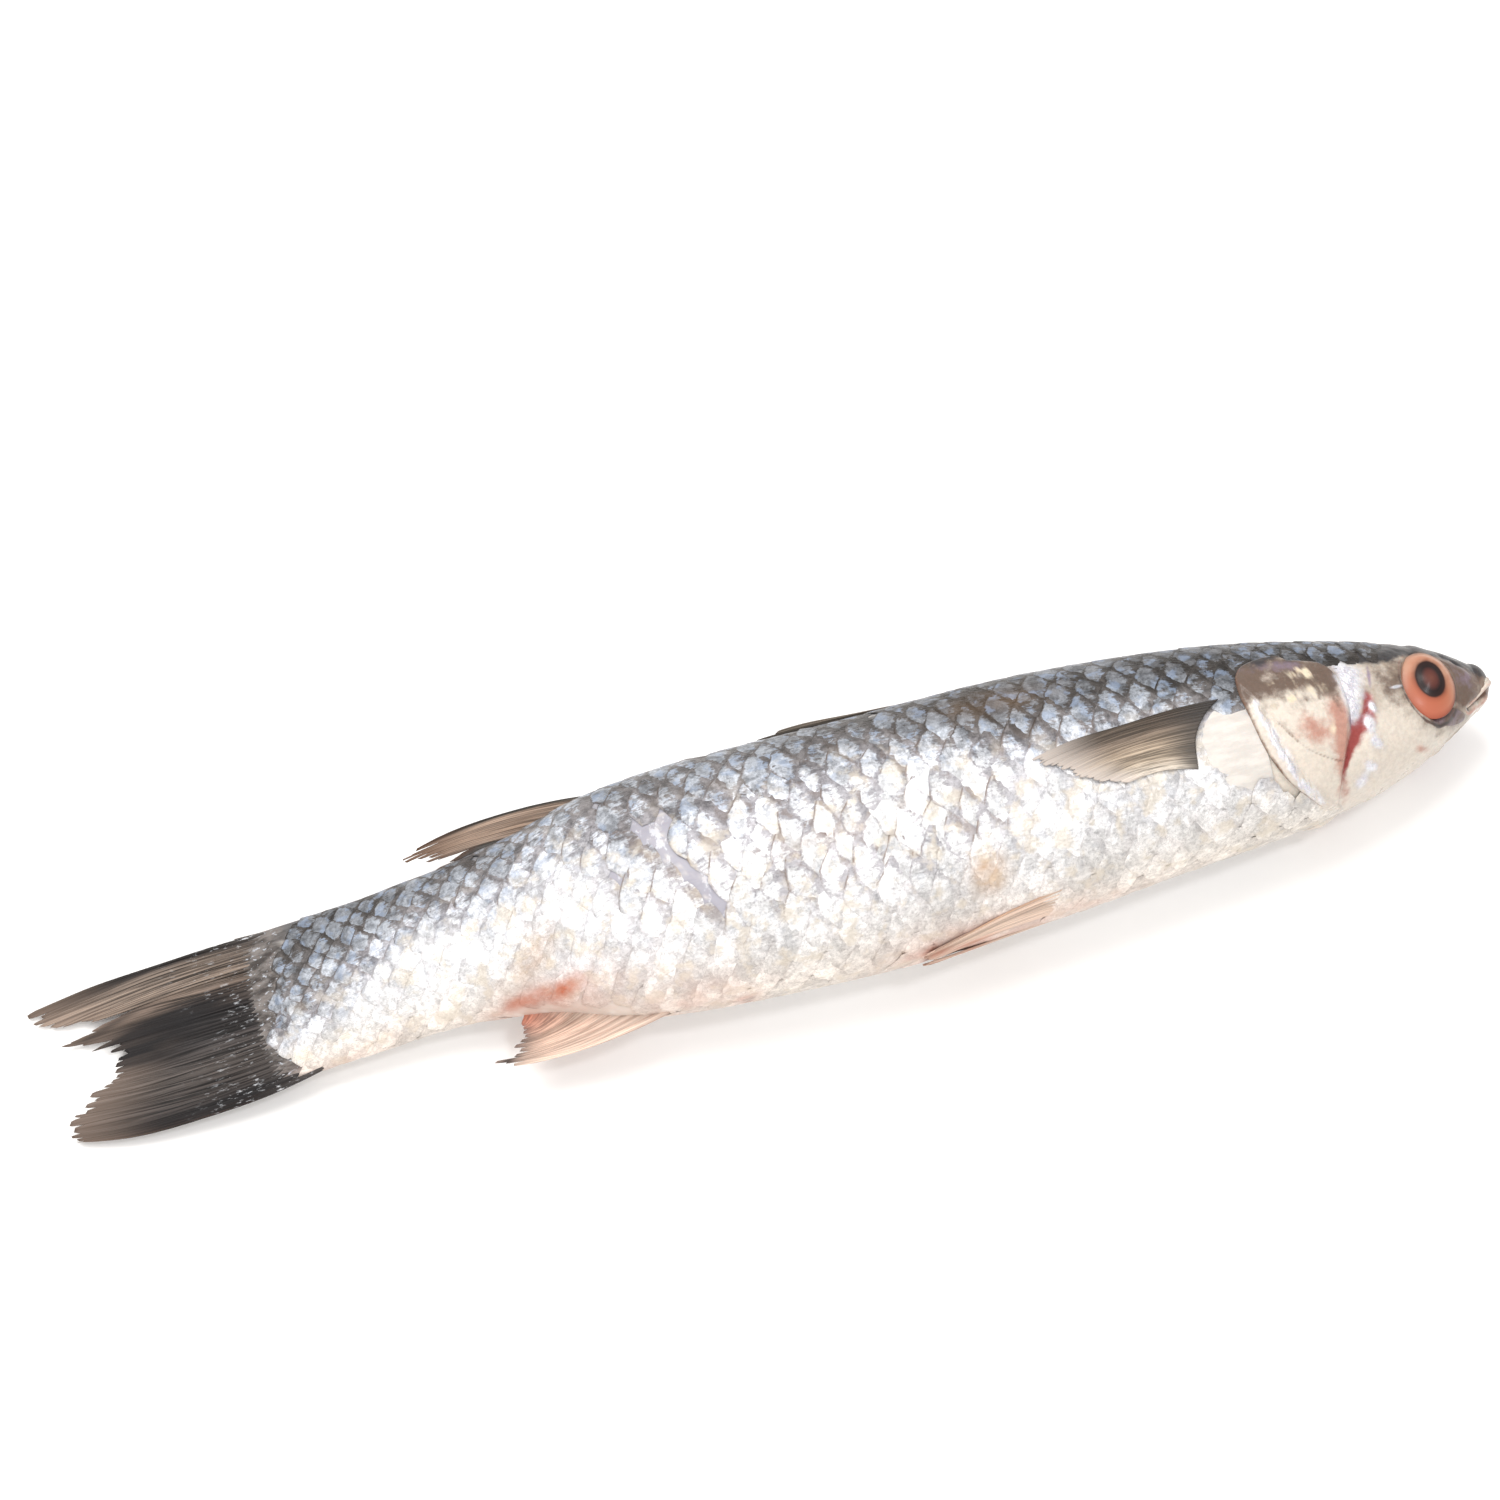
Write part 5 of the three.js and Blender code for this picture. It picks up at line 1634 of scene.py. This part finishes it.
@dataclass
class FinSet:
    """All the fins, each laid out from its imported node's box or from landmarks on the skin."""

    form: BodyForm

    def upright(self, x: Array, y: Array, lift: Array) -> Array:
        """A place (x, y) in the fish's mid-plane, moved up by lift."""
        z = self.form.height(np.maximum(x, self.form.first)) + lift
        return np.stack(np.broadcast_arrays(x, y, z), -1)

    def drooping(self, x: Array, y: Array, lift: Array) -> Array:
        """A place (x, y) in the tail fin, which falls from the stalk's middle to the table, gently waved."""
        low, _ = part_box("tail_fin")
        share = (self.form.first - x) / (self.form.first - low[0] / MM)
        wave = 0.35 * np.sin(y / 4.5 + x / 16) * ease(0.15, 0.9, share)
        z = mix(self.form.height(self.form.first), 0.85, np.clip(share, -0.1, 1)) + wave
        return np.stack(np.broadcast_arrays(x, y, z + lift), -1)

    def on_flank(self, flank: Flank) -> Callable[[Array, Array, Array], Array]:
        """Places (x, down) on one flank's skin."""
        return lambda x, down, lift: self.form.skin(x, down, lift, flank)

    def tail(self) -> Fin:
        """The forked tail fin: its upper lobe is split, and its rays are darkest by the fork."""
        low, _ = (np.array(v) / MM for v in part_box("tail_fin"))
        x0 = self.form.first + 5
        end = low[0]
        finish = FinFinish(
            name="tail_fin_rays",
            across=(
                (0.00, (0.022, 0.018, 0.017)), (0.035, (0.035, 0.028, 0.025)), (0.07, (0.21, 0.165, 0.135)),
                (0.20, (0.20, 0.155, 0.125)), (0.30, (0.115, 0.085, 0.068)), (0.42, (0.022, 0.019, 0.019)),
                (0.58, (0.032, 0.028, 0.028)), (0.74, (0.072, 0.061, 0.056)), (0.90, (0.042, 0.035, 0.033)),
                (0.96, (0.016, 0.013, 0.013)), (1.00, (0.030, 0.018, 0.014)),
            ),
            tip=(0.30, 0.22, 0.175), tip_share=0.42, groove=(0.010, 0.008, 0.008), groove_share=0.60,
            base=(0.105, 0.093, 0.088), base_share=0.75, speck=0.75, hairs=95, hair_low=0.16,
        )
        return Fin(
            name="tail_rays", surface=self.drooping, slot="dark_fin", nodes=("tail_fin",),
            finish=finish, rays=34,
            root=[(0, x0, 16.6), (0.5, x0 - 1, 1.6), (1, x0, -13.5)],
            tip=[
                (across, end + short, y)
                for across, short, y in (
                    (0, 0.7, 14.0), (0.06, 1.8, 12.4), (0.12, 4.5, 10.8), (0.18, 9.5, 9.9), (0.235, 16, 9.3),
                    (0.26, 24, 9.4), (0.285, 18, 8.6), (0.32, 12.5, 7.3), (0.36, 6.8, 5.9), (0.385, 10, 5.1),
                    (0.41, 15.5, 4.5), (0.43, 12, 3.4), (0.455, 18, 3.3), (0.485, 15.6, 2.2),
                    (0.52, 17.6, 0.8), (0.56, 17, -0.3), (0.62, 14.5, -2.3), (0.68, 12.4, -4.3),
                    (0.76, 9.2, -6.6), (0.84, 6.6, -9.0), (0.92, 3.6, -11.6), (0.96, 4.4, -12.9),
                    (1, 8, -14.2),
                )
            ],
            bow=[(0, -1.6), (0.3, -0.4), (0.55, 0.1), (0.8, 1.3), (1, 2.5)],
            shade=[Spot(-125, 2.6, 15, 3.4, 8), Spot(-120, 5.2, 18, 2.0, 10, 0.9),
                   Spot(-132, 7.6, 9, 0.9, 14, 0.8), Spot(-128, -1.0, 11, 1.6, -8, 0.9),
                   Spot(-112, -14.4, 18, 1.6, 4, 0.9)],
            thick_root=1.8, thick_tip=0.22, ragged=0.05, notch=0.035, rows=70, per_ray=8, seed=12,
        )

    def soft_dorsal(self) -> Fin:
        """The rear back fin, swept back, with a dark leading edge and a frayed end."""
        low, high = (np.array(v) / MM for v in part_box("soft_dorsal_fin"))
        crest = self._crest
        finish = FinFinish(
            name="soft_dorsal_rays",
            across=((0.0, (0.022, 0.018, 0.016)), (0.05, (0.040, 0.032, 0.026)), (0.10, (0.33, 0.24, 0.185)),
                    (0.45, (0.31, 0.22, 0.165)), (0.68, (0.20, 0.15, 0.120)), (0.80, (0.055, 0.050, 0.046)),
                    (1.0, (0.035, 0.033, 0.033))),
            tip=(0.085, 0.040, 0.022), tip_share=0.75, groove=(0.045, 0.032, 0.024), groove_share=0.55,
            base=(0.20, 0.17, 0.145), base_share=0.35,
        )
        front, rear = high[0] - 0.5, low[0] + 21
        return Fin(
            name="soft_dorsal_rays", surface=self.upright, slot="dark_fin", nodes=("soft_dorsal_fin",),
            finish=finish, rays=10,
            root=[(0, front, crest(front) - 0.8), (1, rear, crest(rear) - 2.0)],
            tip=[(0, low[0] + 1.0, high[1] - 1.9), (0.25, low[0], high[1] - 2.9),
                 (0.5, low[0] + 2.0, high[1] - 4.0), (0.7, low[0] + 4.8, high[1] - 4.9),
                 (0.8, low[0] + 12, high[1] - 4.8), (0.88, low[0] + 8, low[1] + 1.2),
                 (1, low[0] + 4.6, low[1] + 0.3)],
            bow=[(0, -2.2), (0.5, -1.2), (1, -0.3)], thick_root=0.9, thick_tip=0.25, ragged=0.10, notch=0.16,
            lift_tip=0.4, rows=50, per_ray=12, seed=23,
        )

    def spiny_dorsal(self) -> Fin:
        """The front back fin: four spines folded down into a low ridge along the back."""
        low, high = (np.array(v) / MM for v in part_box("spiny_dorsal_fin"))
        crest = self._crest
        finish = FinFinish(
            name="spiny_dorsal_rays",
            across=((0.0, (0.15, 0.125, 0.10)), (0.35, (0.085, 0.070, 0.058)), (0.7, (0.065, 0.056, 0.048)),
                    (1.0, (0.040, 0.036, 0.033))),
            tip=(0.11, 0.092, 0.075), tip_share=0.4, groove=(0.018, 0.015, 0.014), groove_share=0.7,
            base=(0.075, 0.068, 0.062), base_share=0.4,
        )
        front, rear = high[0] - 1, low[0]
        return Fin(
            name="spiny_dorsal_rays", surface=self.upright, slot="dark_fin", nodes=("spiny_dorsal_fin",),
            finish=finish, rays=4,
            root=[(0, front, crest(front) - 0.3), (1, front - 13, crest(front - 13) - 0.9)],
            tip=[(0, rear + 4, crest(rear + 4) + 1.5), (0.5, rear + 1.5, crest(rear + 1.5) + 0.9),
                 (1, rear, crest(rear) - 0.2)],
            bow=[(0, -0.8), (1, -0.6)], thick_root=1.3, thick_tip=0.5, ragged=0.10, notch=0.05,
            lift=1.6, lift_tip=1.8, rows=44, per_ray=16, seed=31,
        )

    def anal(self) -> Fin:
        """The fin under the belly: pink and clear, with a frayed, grey-tipped rear edge."""
        low, high = (np.array(v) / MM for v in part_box("anal_fin"))
        keel = self._keel
        finish = FinFinish(
            name="anal_rays",
            across=((0.0, (0.60, 0.46, 0.38)), (0.3, (0.50, 0.36, 0.29)), (0.6, (0.40, 0.27, 0.21)),
                    (0.85, (0.38, 0.19, 0.14)), (1.0, (0.36, 0.13, 0.085))),
            tip=(0.085, 0.070, 0.070), tip_share=0.7, groove=(0.36, 0.21, 0.16), groove_share=0.4,
            base=(0.62, 0.49, 0.41), base_share=0.7, hair_low=0.75,
        )
        front, rear = high[0] - 2, low[0] + 8.5
        return Fin(
            name="anal_rays", surface=self.upright, slot="pale_fin", nodes=("anal_fin",),
            finish=finish, rays=11,
            root=[(0, front, keel(front) + 0.6), (1, rear, keel(rear) + 2.2)],
            tip=[(0, low[0] - 2.6, low[1] + 2.2), (0.2, low[0] - 0.6, low[1] + 3.2),
                 (0.45, low[0] + 3.6, low[1] + 4.8), (0.7, low[0] + 6.2, low[1] + 6.6),
                 (1, low[0] + 6.4, high[1] - 2.6)],
            shade=[Spot(-58.5, -22.2, 3.6, 0.9, 20, 0.85), Spot(-56.5, -19.6, 2.2, 0.6, 10, 0.5)],
            bow=[(0, 2.3), (0.5, 1.5), (1, 0.5)], thick_root=1.0, thick_tip=0.28, ragged=0.14, notch=0.10,
            lift_tip=-1.2, rows=50, per_ray=12, seed=41,
        )

    def pectoral(self, flank: Flank) -> Fin:
        """A side fin laid back on the flank: dark above, fading to clear beige below."""
        finish = FinFinish(
            name="pectoral_rays",
            across=((0.0, (0.020, 0.017, 0.015)), (0.05, (0.075, 0.058, 0.045)),
                    (0.20, (0.070, 0.055, 0.044)), (0.40, (0.13, 0.100, 0.078)), (0.60, (0.23, 0.18, 0.135)),
                    (0.82, (0.34, 0.275, 0.21)), (1.0, (0.54, 0.48, 0.41))),
            tip=(0.52, 0.46, 0.42), tip_share=0.85, groove=(0.040, 0.031, 0.025), groove_share=0.5,
            base=(0.050, 0.048, 0.048), base_share=0.8,
        )
        return Fin(
            name=f"{flank.label}_pectoral_rays", surface=self.on_flank(flank), slot="dark_fin",
            nodes=(f"{flank.label}_pectoral_fin",), finish=finish, rays=17,
            root=[(0, 91.8, 25.6), (0.35, 87.8, 29.0), (0.7, 84.6, 34.0), (1, 83.6, 39.2)],
            tip=[(0, 52.6, 32.6), (0.2, 53.4, 33.6), (0.5, 57.5, 36.2), (0.8, 63, 38.6), (1, 69, 40.2)],
            bow=[(0, 0.8), (1, 1.0)], thick_root=0.7, thick_tip=0.22, ragged=0.05, notch=0.03,
            lift=0.55, lift_tip=0.85, rows=54, per_ray=9, seed=53,
        )

    def pelvic(self, flank: Flank) -> Fin:
        """A belly fin laid back along the belly: pale pink with red streaks towards its tip."""
        finish = FinFinish(
            name="pelvic_rays",
            across=((0.0, (0.40, 0.25, 0.17)), (0.08, (0.49, 0.37, 0.30)), (0.5, (0.51, 0.39, 0.315)),
                    (1.0, (0.52, 0.40, 0.33))),
            tip=(0.48, 0.33, 0.26), tip_share=0.5, groove=(0.44, 0.31, 0.245), groove_share=0.4,
            base=(0.60, 0.51, 0.43), base_share=0.8, flush=(0.38, 0.12, 0.07), hair_low=0.84,
        )
        girth = self.form.girth
        return Fin(
            name=f"{flank.label}_pelvic_rays", surface=self.on_flank(flank), slot="pale_fin",
            nodes=(f"{flank.label}_pelvic_fin",), finish=finish, rays=8,
            root=[(0, 61, 57.0), (1, 58, float(girth(58)) - 1.0)],
            tip=[(0, 24.2, 67.8), (0.4, 23.2, 68.8), (1, 26, float(girth(26)) - 0.4)],
            flush=[Spot(34, 67.5, 4.5, 0.7, -12, 0.6), Spot(27, 68, 2.8, 1.0, -20, 0.55),
                   Spot(48, 66.5, 0.7, 0.4, 0, 0.5)],
            bow=[(0, 1.6), (1, 1.6)], thick_root=0.9, thick_tip=0.3, ragged=0.07, notch=0.05,
            lift=-0.45, lift_tip=1.0, rows=54, per_ray=12, seed=67,
        )

    def _crest(self, x: float) -> float:
        """How far the back's ridge lies towards +Y."""
        return float(self.form.back(x) + self.form.depth(x))

    def _keel(self, x: float) -> float:
        """How far the belly's keel lies towards -Y."""
        return float(self.form.back(x) - self.form.depth(x))

    def build(self) -> None:
        """Builds every fin."""
        fins = [self.tail(), self.soft_dorsal(), self.spiny_dorsal(), self.anal()]
        fins += [make(flank) for make in (self.pectoral, self.pelvic) for flank in Flank]
        for fin in fins:
            fin.build()


# ---------------------------------------------------------------- the studio


@dataclass
class Studio:
    """A pale table, soft light from above and behind, and a camera that looks steeply down."""

    lens: float = 70.0
    distance: float = 0.5994
    azimuth: float = -15.2234
    elevation: float = 70.0
    target: tuple = (0.00492, 0.0311, 0.0)
    surround: tuple = (1.0, 0.975, 0.955, 1)
    surround_power: float = 0.68
    table_half: float = 3000.0  # mm

    def aim(self, thing: bpy.types.Object, place: Vector, target: Vector) -> None:
        """Puts a camera or light at place, looking at target."""
        thing.location = place
        thing.rotation_euler = (target - place).to_track_quat("-Z", "Y").to_euler()
        bpy.context.scene.collection.objects.link(thing)

    def camera(self) -> None:
        """The camera stands back from its target along the azimuth and elevation."""
        a, e = np.radians(self.azimuth), np.radians(self.elevation)
        back = Vector((np.sin(a) * np.cos(e), -np.cos(a) * np.cos(e), np.sin(e)))
        data = bpy.data.cameras.new("camera")
        data.lens = self.lens
        data.sensor_width = 36.0
        data.clip_start, data.clip_end = 0.01, 20
        camera = bpy.data.objects.new("camera", data)
        target = Vector(self.target)
        self.aim(camera, target + back * self.distance, target)
        bpy.context.scene.camera = camera

    def light(self, name: str, place: tuple, size: float, power: float, colour: tuple) -> None:
        """A square soft light that faces the fish."""
        data = bpy.data.lights.new(name, "AREA")
        data.size = size
        data.energy = power
        data.color = colour
        self.aim(bpy.data.objects.new(name, data), Vector(place), Vector((0, 0, 0.02)))

    def table(self) -> None:
        """A large level plane at the height that the fish rests on."""
        points = np.array([[-1, -1, 0], [1, -1, 0], [1, 1, 0], [-1, 1, 0]]) * self.table_half
        plane = make_mesh("table", points, [np.array([[0, 1, 2, 3]])], {})
        plane.data.materials.append(TableFinish().material())

    def build(self) -> None:
        """Camera, table, lights and the pale surround."""
        self.camera()
        self.table()
        self.light("key", (-0.12, 0.36, 0.80), 0.50, 6.6, (1.0, 0.985, 0.96))
        self.light("sparkle", (0.28, -0.10, 0.95), 0.10, 1.5, (0.95, 0.97, 1.0))
        self.light("fill", (-0.35, -0.7, 0.7), 0.8, 4.2, (1.0, 0.975, 0.95))
        world = bpy.data.worlds.new("surround")
        world.use_nodes = True
        background = world.node_tree.nodes["Background"]
        background.inputs["Color"].default_value = self.surround
        background.inputs["Strength"].default_value = self.surround_power
        scene = bpy.context.scene
        scene.world = world
        scene.view_settings.view_transform = "Standard"


def main() -> None:
    """Builds the studio and every piece of the fish."""
    logging.basicConfig(level=logging.INFO, format="%(message)s", stream=sys.stdout)
    Studio().build()
    form = BodyForm.measured(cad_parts["body"])
    log.info("body measured: x %.1f to %.1f mm", form.first, form.last)
    Trunk(form).build()
    head = Head(form)
    head.build()
    for flank in Flank:
        ScaleCoat(form, flank).build()
        GillCover(form, flank).build()
        Eye(head, flank).build()
    Lips(form).build()
    FinSet(form).build()


if __name__ == "__main__":
    main()
